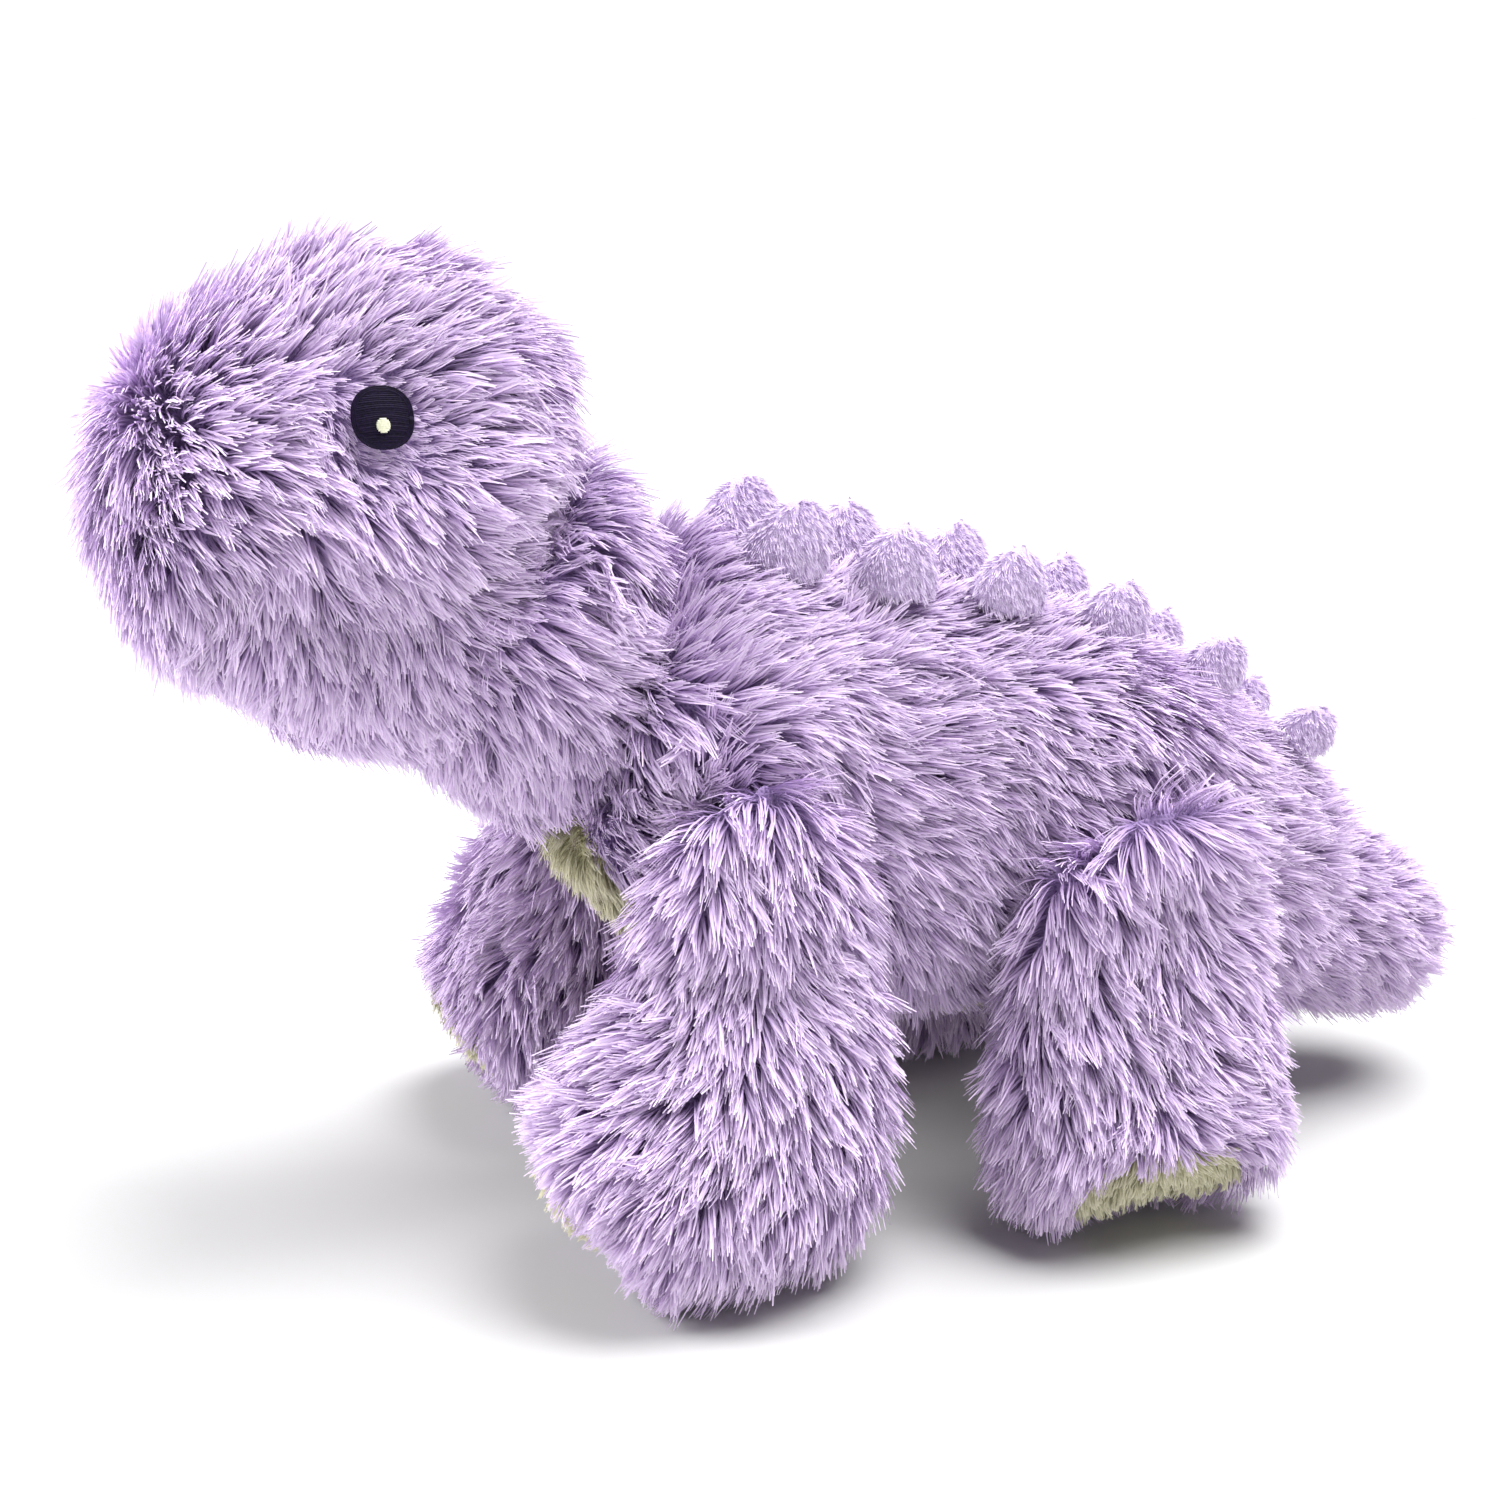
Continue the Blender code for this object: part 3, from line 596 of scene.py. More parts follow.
combed = {
    "head": (
        (-171, 0, 172, 0.0, -0.3, -1.0), (-170, 0, 184, 0.0, -0.4, -0.9), (-168, -17, 175, 0.5, -0.7, -0.6),
        (-170, -8, 168, 0.1, -0.4, -0.9), (-160, -11, 199, 0.8, -0.2, 0.5), (-152, -25, 197, 0.9, -0.1, 0.4),
        (-165, -24, 168, 0.6, -0.5, -0.6), (-166, -12, 190, 0.4, -0.9, -0.3),
        (-138, -20, 206, 0.9, 0.4, 0.3), (-159, -28, 185, 0.8, -0.5, -0.3), (-151, -34, 186, 1.0, -0.2, -0.1),
        (-158, -34, 174, 0.9, -0.4, -0.1), (-155, -36, 170, 0.8, -0.2, -0.5),
        (-147, -38, 168, 0.2, -0.1, -1.0),
        (-136, -39, 169, 1.0, -0.1, -0.3), (-129, -40, 166, 0.8, -0.0, -0.6),
        (-119, -40, 162, 0.4, -0.0, -0.9),
        (-122, -34, 179, 0.4, -0.5, -0.8), (-115, -36, 178, 0.6, -0.3, -0.8),
        (-112, -33, 187, 0.8, -0.4, -0.5),
        (-114, -33, 194, 0.9, 0.3, 0.4), (-118, -33, 193, 0.3, 0.5, 0.8), (-127, -37, 185, -0.9, 0.2, 0.4),
        (-129, -38, 182, -0.6, -0.2, -0.8), (-105, -38, 178, 0.8, 0.0, -0.6), (-97, -34, 184, 0.9, 0.4, -0.3),
        (-99, -30, 194, 0.9, 0.3, -0.2), (-101, -23, 203, 0.9, 0.5, -0.1), (-98, -37, 174, 0.9, 0.4, -0.1),
        (-105, -40, 165, 1.0, 0.2, -0.3), (-112, -26, 204, 1.0, 0.2, 0.0), (-90, -22, 199, 0.7, 0.1, -0.7),
        (-82, -22, 189, 0.2, -0.4, -0.9), (-139, -39, 155, -0.1, 0.1, -1.0),
        (-143, -39, 158, -0.2, 0.1, -1.0),
        (-136, -39, 154, -0.0, 0.2, -1.0), (-132, -39, 154, 0.5, 0.1, -0.9), (-128, -40, 155, 0.8, 0.0, -0.6),
        (-149, -35, 145, -0.4, 0.6, -0.7), (-161, -31, 151, 0.5, -0.2, -0.7),
        (-136, -36, 142, -0.2, 0.6, -0.8),
        (-126, -38, 141, 0.1, 0.4, -0.9), (-157, -27, 141, 0.0, 0.4, -0.9), (-167, -21, 158, 0.4, -0.3, -0.9),
        (-102, -39, 158, 0.9, 0.2, -0.4), (-116, -39, 145, -0.1, 0.3, -1.0), (-108, -38, 140, 0.4, 0.4, -0.9),
        (-94, -37, 146, 0.9, 0.3, -0.2), (-86, -35, 163, 0.6, 0.1, -0.8), (-172, 0, 144, 0.3, 0.0, -0.9),
        (-172, 0, 158, 0.0, -0.1, -1.0), (-168, -15, 143, 0.2, 0.1, -1.0), (-168, -22, 166, 0.5, -0.5, -0.7),
        (-160, -31, 162, 0.6, -0.3, -0.7),
        (-140, 0, 207, 0.9, 0.0, 0.4), (-112, 0, 212, 1.0, 0.0, 0.1), (-85, 0, 202, 0.7, 0.0, -0.8),
        (-150, 0, 128, 0.8, 0.0, -0.5), (-120, 0, 108, 0.9, 0.0, -0.3),
    ),
    "neck": (
        (-100, -33, 128, 0.6, 0.4, -0.7), (-88, -32, 127, 0.8, 0.2, -0.6), (-82, -33, 132, 0.9, 0.2, -0.3),
        (-68, -29, 129, 0.9, -0.1, -0.4), (-77, -29, 120, 0.5, 0.2, -0.8), (-91, -31, 122, 0.5, 0.4, -0.8),
        (-94, -32, 125, 0.0, 0.5, -0.9), (-65, -29, 119, 0.6, -0.7, -0.4), (-71, -27, 110, 0.2, -0.1, -1.0),
        (-84, -24, 108, 0.3, 0.6, -0.7), (-49, -16, 142, -0.2, -0.8, -0.5), (-61, -18, 156, 0.2, -0.3, -0.9),
        (-62, 0, 165, 0.8, 0.0, -0.6), (-85, 0, 95, 0.6, 0.0, -0.8),
    ),
    "trunk": (
        (-45, -46, 122, 0.1, -0.8, -0.6), (-60, -42, 118, -0.3, -0.7, -0.6), (-28, -44, 118, 0.5, -0.6, -0.6),
        (50, -46, 112, 0.4, -0.7, -0.6), (30, -44, 108, 0.2, -0.7, -0.7), (70, -42, 104, 0.5, -0.6, -0.6),
        (-64, -33, 110, -0.2, -0.9, -0.2), (-37, -33, 126, 1.0, 0.1, 0.0), (-49, -35, 120, -0.2, 0.1, 1.0),
        (-7, -36, 89, 0.6, 0.0, -0.8), (3, -36, 93, 0.8, -0.0, -0.6), (-8, -36, 103, 0.9, -0.0, -0.4),
        (3, -34, 111, 0.8, -0.1, -0.5), (13, -36, 101, 0.4, -0.9, -0.3), (8, -32, 119, 1.0, 0.1, 0.0),
        (23, -34, 109, 0.6, -0.8, -0.1), (30, -29, 120, 0.9, -0.1, -0.4), (0, -35, 73, 0.6, 0.2, -0.8),
        (10, -31, 55, 0.5, 0.5, -0.7), (14, -15, 138, 1.0, -0.1, -0.3), (36, -23, 127, 0.9, -0.2, -0.5),
        (55, -28, 115, 0.1, -1.0, -0.3), (-12, -17, 144, 0.8, 0.6, -0.1), (117, -29, 74, 0.8, 0.4, -0.3),
        (105, -33, 56, 0.9, 0.3, -0.4), (-38, -18, 150, 0.9, -0.0, -0.5), (0, 0, 143, 1.0, 0.0, -0.1),
        (60, 0, 125, 0.9, 0.0, -0.4), (100, 0, 95, 0.8, 0.0, -0.6), (0, 0, 38, 0.9, 0.0, 0.1),
        (75, -34, 95, 0.7, -0.3, -0.6),
    ),
    "front_leg": (
        (-45, -38, 122, 0.3, -0.9, 0.0), (-60, -38, 118, -0.2, -0.9, -0.2), (-30, -38, 118, 0.5, -0.8, -0.1),
        (-45, -44, 121, 0.2, -0.9, -0.3),
        (-48, -47, 118, -0.1, -0.6, -0.8), (-50, -52, 116, -0.2, -0.3, -0.9),
        (-49, -54, 114, -0.3, -0.3, -0.9),
        (-45, -53, 116, 0.2, -0.3, -0.9), (-58, -54, 110, -0.2, -0.2, -0.9),
        (-67, -52, 105, -0.3, -0.2, -0.9),
        (-41, -49, 118, 0.3, -0.5, -0.8), (-67, -54, 99, -0.3, -0.1, -0.9), (-59, -56, 102, -0.5, -0.0, -0.9),
        (-53, -58, 102, -0.2, -0.1, -1.0), (-46, -58, 104, 0.1, -0.2, -1.0), (-37, -58, 103, 0.6, -0.1, -0.8),
        (-27, -55, 106, 0.4, -0.2, -0.9), (-64, -57, 92, -0.7, 0.2, -0.7), (-51, -59, 92, -0.1, -0.2, -1.0),
        (-39, -59, 92, 0.2, -0.1, -1.0), (-27, -58, 92, 0.5, 0.0, -0.8), (-68, -57, 84, -0.5, 0.1, -0.8),
        (-59, -60, 86, -0.2, -0.2, -1.0), (-51, -61, 82, 0.0, -0.2, -1.0), (-42, -62, 81, 0.6, -0.1, -0.8),
        (-33, -62, 78, 0.8, 0.1, -0.6), (-22, -59, 79, 0.3, 0.0, -0.9), (-48, -66, 64, -0.9, -0.1, -0.3),
        (-57, -65, 67, -1.0, 0.2, -0.1), (-67, -62, 69, -0.8, 0.2, -0.5), (-45, -66, 64, 0.1, -0.3, -0.9),
        (-41, -66, 62, 0.4, -0.3, -0.9), (-34, -66, 62, 0.5, -0.1, -0.8), (-54, -69, 55, -0.9, -0.1, -0.5),
        (-71, -66, 56, -0.9, 0.3, -0.3), (-82, -61, 56, -0.6, 0.5, -0.6), (-50, -71, 51, -0.5, -0.2, -0.8),
        (-41, -71, 50, 0.1, -0.3, -1.0), (-31, -71, 44, 0.1, -0.1, -1.0), (-68, -72, 47, -0.9, 0.2, -0.3),
        (-80, -68, 45, -0.7, 0.3, -0.6), (-90, -59, 47, -0.4, 0.7, -0.7), (-60, -74, 40, -0.8, -0.1, -0.5),
        (-51, -76, 35, -0.4, -0.1, -0.9), (-37, -75, 32, -0.2, -0.1, -1.0), (-65, -76, 28, -0.6, -0.0, -0.8),
        (-85, -70, 35, -0.5, 0.3, -0.8), (-18, -64, 48, 0.4, 0.3, -0.9), (-25, -70, 38, -0.6, -0.3, -0.7),
    ),
    "hind_leg": (
        (50, -38, 115, 0.4, -0.9, 0.0), (30, -38, 112, 0.1, -0.9, -0.2), (70, -38, 110, 0.6, -0.8, -0.1),
        (50, -45, 114, 0.4, -0.8, -0.4),
        (14, -56, 76, -0.2, -0.0, -1.0), (17, -60, 71, 0.2, -0.3, -0.9), (26, -62, 71, 0.6, -0.3, -0.7),
        (10, -56, 60, -0.1, 0.1, -1.0), (17, -64, 53, 0.1, -0.4, -0.9), (24, -68, 49, 0.3, -0.4, -0.9),
        (12, -65, 35, -0.1, 0.5, -0.8), (15, -69, 26, -0.0, 0.1, -1.0), (22, -76, 23, 0.0, 0.1, -1.0),
        (53, -53, 109, 0.8, -0.3, -0.4), (40, -59, 96, 0.3, -0.3, -0.9), (56, -59, 97, 0.6, -0.2, -0.8),
        (50, -42, 113, 0.7, -0.7, -0.1), (28, -46, 106, 0.5, -0.8, -0.3), (75, -46, 104, 0.8, -0.4, -0.4),
        (42, -62, 80, -0.3, -0.2, -0.9), (63, -62, 78, 0.5, -0.0, -0.9), (54, -68, 58, 0.0, -0.4, -0.9),
        (46, -74, 43, 0.9, 0.2, -0.3), (34, -75, 38, -0.8, 0.4, -0.5),
    ),
    "tail": ((125, -20, 60, 0.9, 0.1, -0.4), (150, 0, 65, 0.9, 0.0, -0.4)),
}
generalLie = {
    "head": (0.9, 0, -0.35), "neck": (0.6, 0, -0.7), "trunk": (0.7, 0, -0.6),
    "front_leg": (-0.2, 0, -1.0), "hind_leg": (0.05, 0, -1.0), "tail": (0.9, 0, -0.45),
}
combSettings = {
    "reachMm": 13.0, "generalShare": 0.02, "swirlDegrees": 44, "swirlMm": 17.0, "fineDegrees": 36,
    "fineMm": 6.0,
    "fineShift": (7, 3, 5),
}


def familyOf(body):
    return body.rsplit("_", 1)[0] if "leg" in body else body


def combDirections(body, coords, normals):
    family = familyOf(body)
    guides = np.array(combed[family], float)
    flip = np.where(coords[:, 1] > 0, -1.0, 1.0)
    near = coords / mm
    near[:, 1] = -np.abs(near[:, 1])
    gap = np.linalg.norm(near[:, None, :] - guides[None, :, :3], axis=2)
    weight = np.exp(-(gap / combSettings["reachMm"]) ** 2)
    lie = weight @ guides[:, 3:] + np.array(generalLie[family]) * combSettings["generalShare"]
    lie[:, 1] *= flip
    lie -= normals * (lie * normals).sum(1, keepdims=True)
    lie /= np.maximum(np.linalg.norm(lie, axis=1, keepdims=True), 1e-9)
    wide = np.array([noise.noise(Vector(p) / (combSettings["swirlMm"] * mm)) for p in coords])
    shift = Vector(combSettings["fineShift"])
    fine = np.array([noise.noise(Vector(p) / (combSettings["fineMm"] * mm) + shift) for p in coords])
    turn = np.radians(wide * combSettings["swirlDegrees"] + fine * combSettings["fineDegrees"])[:, None]
    return lie * np.cos(turn) + np.cross(normals, lie) * np.sin(turn)


# pile

longPile = {
    "tufts": 9, "strands": 7, "segments": 3, "lengthMm": 13.8, "widthMm": 0.40, "rootMm": (1.2, 1.2),
    "liftDegrees": (60, 12), "tipShare": 0.55, "seed": 11,
}
shortPile = {
    "tufts": 5, "strands": 7, "segments": 2, "lengthMm": 3.4, "widthMm": 0.34, "rootMm": (0.8, 0.8),
    "liftDegrees": (42, 18), "tipShare": 0.4, "seed": 23,
}


tuftSway = {  # how strands in one tuft differ
    "leanMost": 0.18, "lengths": (0.84, 1.04), "liftDegrees": 9, "twistDegrees": 42, "widths": (0.75, 1.2),
    "sunkMm": 1.0, "wave": 0.10, "waveTurns": 4.5, "gather": 0.62, "bend": 0.75, "swell": (0.8, 1.0, 1.0),
}


def makeTufts(name, settings):
    dice = random.Random(settings["seed"])
    shelf = bpy.data.collections.new(name)
    strip = 0
    for index in range(settings["tufts"]):
        bm = bmesh.new()
        uv = bm.loops.layers.uv.new("OFBake")
        lean = dice.uniform(-tuftSway["leanMost"], tuftSway["leanMost"])
        for _ in range(settings["strands"]):
            x = dice.uniform(-1, 1) * settings["rootMm"][0] * mm
            y = dice.uniform(-1, 1) * settings["rootMm"][1] * mm
            length = settings["lengthMm"] * mm * dice.uniform(*tuftSway["lengths"])
            spread = tuftSway["liftDegrees"]
            lifts = [math.radians(a + dice.uniform(-spread, spread)) for a in settings["liftDegrees"]]
            twist = math.radians(dice.uniform(-tuftSway["twistDegrees"], tuftSway["twistDegrees"]))
            phase = dice.uniform(0, 6.28)
            width = settings["widthMm"] * mm * dice.uniform(*tuftSway["widths"])
            spot = Vector((x, y, -tuftSway["sunkMm"] * mm))
            steps = settings["segments"]
            line = []
            for k in range(steps + 1):
                share = k / steps
                line.append(spot.copy())
                lift = lifts[0] + (lifts[1] - lifts[0]) * share ** tuftSway["bend"]
                step = length / steps
                spot.x += math.cos(lift) * step
                spot.z += math.sin(lift) * step
                wave = tuftSway["wave"] * math.sin(phase + share * tuftSway["waveTurns"])
                sway = (lean * share + wave) * step
                gather = y * tuftSway["gather"] / steps * min(1, 1.5 * share + 0.3)
                spot.y += sway - gather
            column = strip % plushStrips["columns"]
            row = strip // plushStrips["columns"] % plushStrips["rows"]
            strip += 1
            middleV = (row + 0.5) / plushStrips["rows"]
            pairs = []
            for k, point in enumerate(line):
                ahead = line[min(k + 1, steps)] - line[max(k - 1, 0)]
                ahead.normalize()
                flat = Vector((0, 0, 1)).cross(ahead)
                if flat.length < 0.1:
                    flat = Vector((0, 1, 0))
                flat.normalize()
                flat = Matrix.Rotation(twist, 3, ahead) @ flat
                share = k / steps
                margin = plushStrips["margin"]
                u = (column + margin + (1 - 2 * margin) * share) / plushStrips["columns"]
                swell = settings["tipShare"] if k == steps else tuftSway["swell"][min(2, int(share * 3))]
                pair = []
                for edge in (-1, 1):
                    vert = bm.verts.new(point + flat * edge * width * 0.5 * swell)
                    pair.append((vert, (u, middleV + edge * plushStrips["halfHeight"])))
                pairs.append(pair)
            for a, b in zip(pairs, pairs[1:]):
                corners = [a[0], a[1], b[1], b[0]]
                face = bm.faces.new([c[0] for c in corners])
                face.smooth = True
                for loop, corner in zip(face.loops, corners):
                    loop[uv].uv = corner[1]
        mesh = bpy.data.meshes.new("%s_%d" % (name, index))
        bm.to_mesh(mesh)
        bm.free()
        shelf.objects.link(bpy.data.objects.new(mesh.name, mesh))
    return shelf


def makePileTree():
    tree = bpy.data.node_groups.new("sewn_pile", "GeometryNodeTree")
    face = tree.interface
    face.new_socket("Geometry", in_out="OUTPUT", socket_type="NodeSocketGeometry")
    for label, kind in (
        ("Geometry", "Geometry"), ("Tufts", "Collection"), ("Tuft Count", "Int"), ("Spacing", "Float"),
        ("Seed", "Int"),
        ("Lock Size", "Float"), ("Lock Pull", "Float"), ("Stray", "Float"), ("Smallest", "Float"),
        ("Largest", "Float"),
        ("Finish", "Material"),
    ):
        face.new_socket(label, in_out="INPUT", socket_type="NodeSocket" + kind)
    given = addNode(tree, "NodeGroupInput").outputs
    dense = addNode(
        tree, "ShaderNodeMath", links={0: given["Spacing"], 1: given["Spacing"]}, operation="MULTIPLY"
    )
    most = addNode(tree, "ShaderNodeMath", {0: 1.35}, {1: dense.outputs[0]}, operation="DIVIDE")
    thick = addNode(tree, "GeometryNodeInputNamedAttribute", {"Name": "thick"}, data_type="FLOAT")
    roots = addNode(
        tree, "GeometryNodeDistributePointsOnFaces",
        links={
            "Mesh": given["Geometry"], "Distance Min": given["Spacing"], "Density Max": most.outputs[0],
            "Density Factor": thick.outputs["Attribute"], "Seed": given["Seed"],
        },
        distribute_method="POISSON",
    )
    comb = addNode(tree, "GeometryNodeInputNamedAttribute", {"Name": "comb"}, data_type="FLOAT_VECTOR")
    rise = addNode(tree, "GeometryNodeInputNamedAttribute", {"Name": "rise"}, data_type="FLOAT_VECTOR")
    pile = addNode(tree, "GeometryNodeInputNamedAttribute", {"Name": "pile"}, data_type="FLOAT")
    place = addNode(tree, "GeometryNodeInputPosition")
    lockScale = addNode(tree, "ShaderNodeMath", {0: 1.0}, {1: given["Lock Size"]}, operation="DIVIDE")
    locks = addNode(
        tree, "ShaderNodeTexVoronoi", links={"Vector": place.outputs[0], "Scale": lockScale.outputs[0]}
    )
    inward = addNode(
        tree, "ShaderNodeVectorMath", links={0: locks.outputs["Position"], 1: place.outputs[0]},
        operation="SUBTRACT"
    )
    pullScale = addNode(
        tree, "ShaderNodeMath", links={0: given["Lock Pull"], 1: given["Lock Size"]}, operation="DIVIDE"
    )
    pull = addNode(
        tree, "ShaderNodeVectorMath", links={0: inward.outputs[0], "Scale": pullScale.outputs[0]},
        operation="SCALE"
    )
    lie = addNode(
        tree, "ShaderNodeVectorMath", links={0: comb.outputs["Attribute"], 1: pull.outputs[0]},
        operation="ADD"
    )
    standing = addNode(
        tree, "FunctionNodeAlignRotationToVector", links={"Vector": rise.outputs["Attribute"]}, axis="Z"
    )
    laid = addNode(
        tree, "FunctionNodeAlignRotationToVector",
        links={"Rotation": standing.outputs[0], "Vector": lie.outputs[0]}, axis="X", pivot_axis="Z"
    )
    strayBack = addNode(tree, "ShaderNodeMath", {1: -1.0}, {0: given["Stray"]}, operation="MULTIPLY")
    lowest = addNode(
        tree, "ShaderNodeCombineXYZ",
        links={"X": strayBack.outputs[0], "Y": strayBack.outputs[0], "Z": strayBack.outputs[0]}
    )
    highest = addNode(
        tree, "ShaderNodeCombineXYZ", links={"X": given["Stray"], "Y": given["Stray"], "Z": given["Stray"]}
    )
    tilt = addNode(
        tree, "FunctionNodeRandomValue",
        links={0: lowest.outputs[0], 1: highest.outputs[0], "Seed": given["Seed"]},
        data_type="FLOAT_VECTOR"
    )
    turned = addNode(tree, "FunctionNodeEulerToRotation", links={0: tilt.outputs[0]})
    strayed = addNode(
        tree, "FunctionNodeRotateRotation",
        links={"Rotation": laid.outputs[0], "Rotate By": turned.outputs[0]},
        rotation_space="LOCAL"
    )
    sizes = addNode(
        tree, "FunctionNodeRandomValue",
        links={2: given["Smallest"], 3: given["Largest"], "Seed": given["Seed"]},
        data_type="FLOAT"
    )
    long = addNode(
        tree, "ShaderNodeMath", links={0: sizes.outputs[1], 1: pile.outputs["Attribute"]},
        operation="MULTIPLY"
    )
    girth = addNode(tree, "ShaderNodeMath", {1: 0.5, 2: 0.5}, {0: long.outputs[0]}, operation="MULTIPLY_ADD")
    scale = addNode(
        tree, "ShaderNodeCombineXYZ",
        links={"X": long.outputs[0], "Y": girth.outputs[0], "Z": long.outputs[0]}
    )
    lastTuft = addNode(tree, "ShaderNodeMath", {1: 1.0}, {0: given["Tuft Count"]}, operation="SUBTRACT")
    pick = addNode(
        tree, "FunctionNodeRandomValue", {4: 0}, {5: lastTuft.outputs[0], "Seed": given["Seed"]},
        data_type="INT"
    )
    shelf = addNode(
        tree, "GeometryNodeCollectionInfo", {"Separate Children": True, "Reset Children": True},
        {"Collection": given["Tufts"]}
    )
    sewn = addNode(
        tree, "GeometryNodeInstanceOnPoints", {"Pick Instance": True},
        {
            "Points": roots.outputs["Points"], "Instance": shelf.outputs[0],
            "Instance Index": pick.outputs[2],
            "Rotation": strayed.outputs[0], "Scale": scale.outputs[0],
        },
    )
    real = addNode(tree, "GeometryNodeRealizeInstances", links={0: sewn.outputs[0]})
    dyed = addNode(
        tree, "GeometryNodeSetMaterial", links={"Geometry": real.outputs[0], "Material": given["Finish"]}
    )
    addNode(tree, "NodeGroupOutput", links={0: dyed.outputs[0]})
    return tree


longTufts, shortTufts = makeTufts("long_tuft", longPile), makeTufts("short_tuft", shortPile)
pileTree = makePileTree()
socketIds = {item.name: item.identifier for item in pileTree.interface.items_tree if item.in_out == "INPUT"}


floorPress = {"restMm": 0.6, "keep": 0.08, "mostMm": 6}  # pile under the feet is pressed flat on the floor


def sewPile(name, bed, tufts, finish, seed, spacingMm, settings):
    pileOn = bed.modifiers.new("pile", "NODES")
    pileOn.node_group = pileTree
    for label, value in (
        ("Tufts", tufts), ("Tuft Count", len(tufts.objects)), ("Spacing", spacingMm * mm), ("Seed", seed),
        ("Lock Size", settings["lockMm"] * mm), ("Lock Pull", settings["lockPull"]),
        ("Stray", math.radians(settings["strayDegrees"])), ("Smallest", settings["smallest"]),
        ("Largest", settings["largest"]), ("Finish", finish),
    ):
        pileOn[socketIds[label]] = value
    depsgraph = bpy.context.evaluated_depsgraph_get()
    mesh = bpy.data.meshes.new_from_object(bed.evaluated_get(depsgraph))
    bed.modifiers.clear()
    for label in ("comb", "rise", "pile", "thick"):
        if label in mesh.attributes:
            mesh.attributes.remove(mesh.attributes[label])
    mesh.name = name
    coords = coordsOf(mesh)
    rest = floorPress["restMm"] * mm
    low = coords[:, 2] < rest
    coords[low, 2] = rest - floorPress["keep"] * (rest - coords[low, 2]).clip(0, floorPress["mostMm"] * mm)
    setCoords(mesh, coords)
    obj = bpy.data.objects.new(name, mesh)
    scene.collection.objects.link(obj)
    return obj


def bedFrom(name, coords, faces, comb, rise, pile, thick):
    used = np.unique(np.concatenate([np.array(face) for face in faces]))
    new = {old: i for i, old in enumerate(used)}
    mesh = bpy.data.meshes.new(name)
    mesh.from_pydata([tuple(coords[i]) for i in used], [], [[new[i] for i in face] for face in faces])
    for label, kind, values in (
        ("comb", "FLOAT_VECTOR", comb[used]), ("rise", "FLOAT_VECTOR", rise[used]),
        ("pile", "FLOAT", pile[used]), ("thick", "FLOAT", thick[used]),
    ):
        layer = mesh.attributes.new(label, kind, "POINT")
        layer.data.foreach_set(
            "vector" if kind == "FLOAT_VECTOR" else "value", values.astype(np.float32).ravel()
        )
    return newObject(name, mesh)


print("tufts and pile tree made")


# joining pieces to the bodies: only trunk pieces are joined; pieces of the other bodies just have their
# placement baked into the mesh


def attach(obj, body):
    if body == "trunk":
        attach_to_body(obj, "trunk")
    elif body == "neck":
        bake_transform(obj)
    elif body == "head":
        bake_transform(obj)
    elif body == "tail":
        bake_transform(obj)
    else:
        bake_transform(obj)


# eyes

def discOf(node):
    coords = coordsOf(frame["nodes"][node].data)
    centre = coords.mean(0)
    _, _, axes = np.linalg.svd(coords - centre)
    out = Vector(axes[2])
    if out.y * centre[1] < 0:
        out = -out
    up = (Vector((0, 0, 1)) - out * out.z).normalized()
    right = up.cross(out)
    local = coords - centre
    radius = max(np.abs(local @ np.array(right)).max(), np.abs(local @ np.array(up)).max())
    top = (local @ np.array(out)).max()
    return Vector(centre), right, up, out, float(radius), float(top)


threadSettings = {
    "spacingMm": 0.40, "radiusMm": 0.26, "columns": 14, "round": 6, "rimRows": 3, "reach": 0.88,
    "squareness": 2.3, "domeMm": 0.9, "bend": 0.16, "layerMm": 0.12, "rimSteps": 48, "rimStep": 0.055,
    "glintReach": 0.78, "glintRows": 8, "glintRadiusMm": 0.27, "glintLiftMm": 0.55,
}


def threadMesh(name, lines, radius):
    bm = bmesh.new()
    count = threadSettings["round"]
    for line in lines:
        loops = []
        for k, point in enumerate(line):
            ahead = (line[min(k + 1, len(line) - 1)] - line[max(k - 1, 0)]).normalized()
            side = ahead.orthogonal().normalized()
            over = ahead.cross(side)
            loops.append([
                bm.verts.new(point + (side * math.cos(a) + over * math.sin(a)) * radius)
                for a in [2 * math.pi * j / count for j in range(count)]
            ])
        for a, b in zip(loops, loops[1:]):
            turn = min(
                range(count),
                key=lambda s: sum((a[j].co - b[(j + s) % count].co).length for j in range(count))
            )
            b[:] = b[turn:] + b[:turn]
            for j in range(count):
                k = (j + 1) % count
                bm.faces.new((a[j], a[k], b[k], b[j])).smooth = True
        bm.faces.new(loops[0][::-1])
        bm.faces.new(loops[-1])
    bmesh.ops.recalc_face_normals(bm, faces=bm.faces)
    mesh = bpy.data.meshes.new(name)
    bm.to_mesh(mesh)
    bm.free()
    return mesh


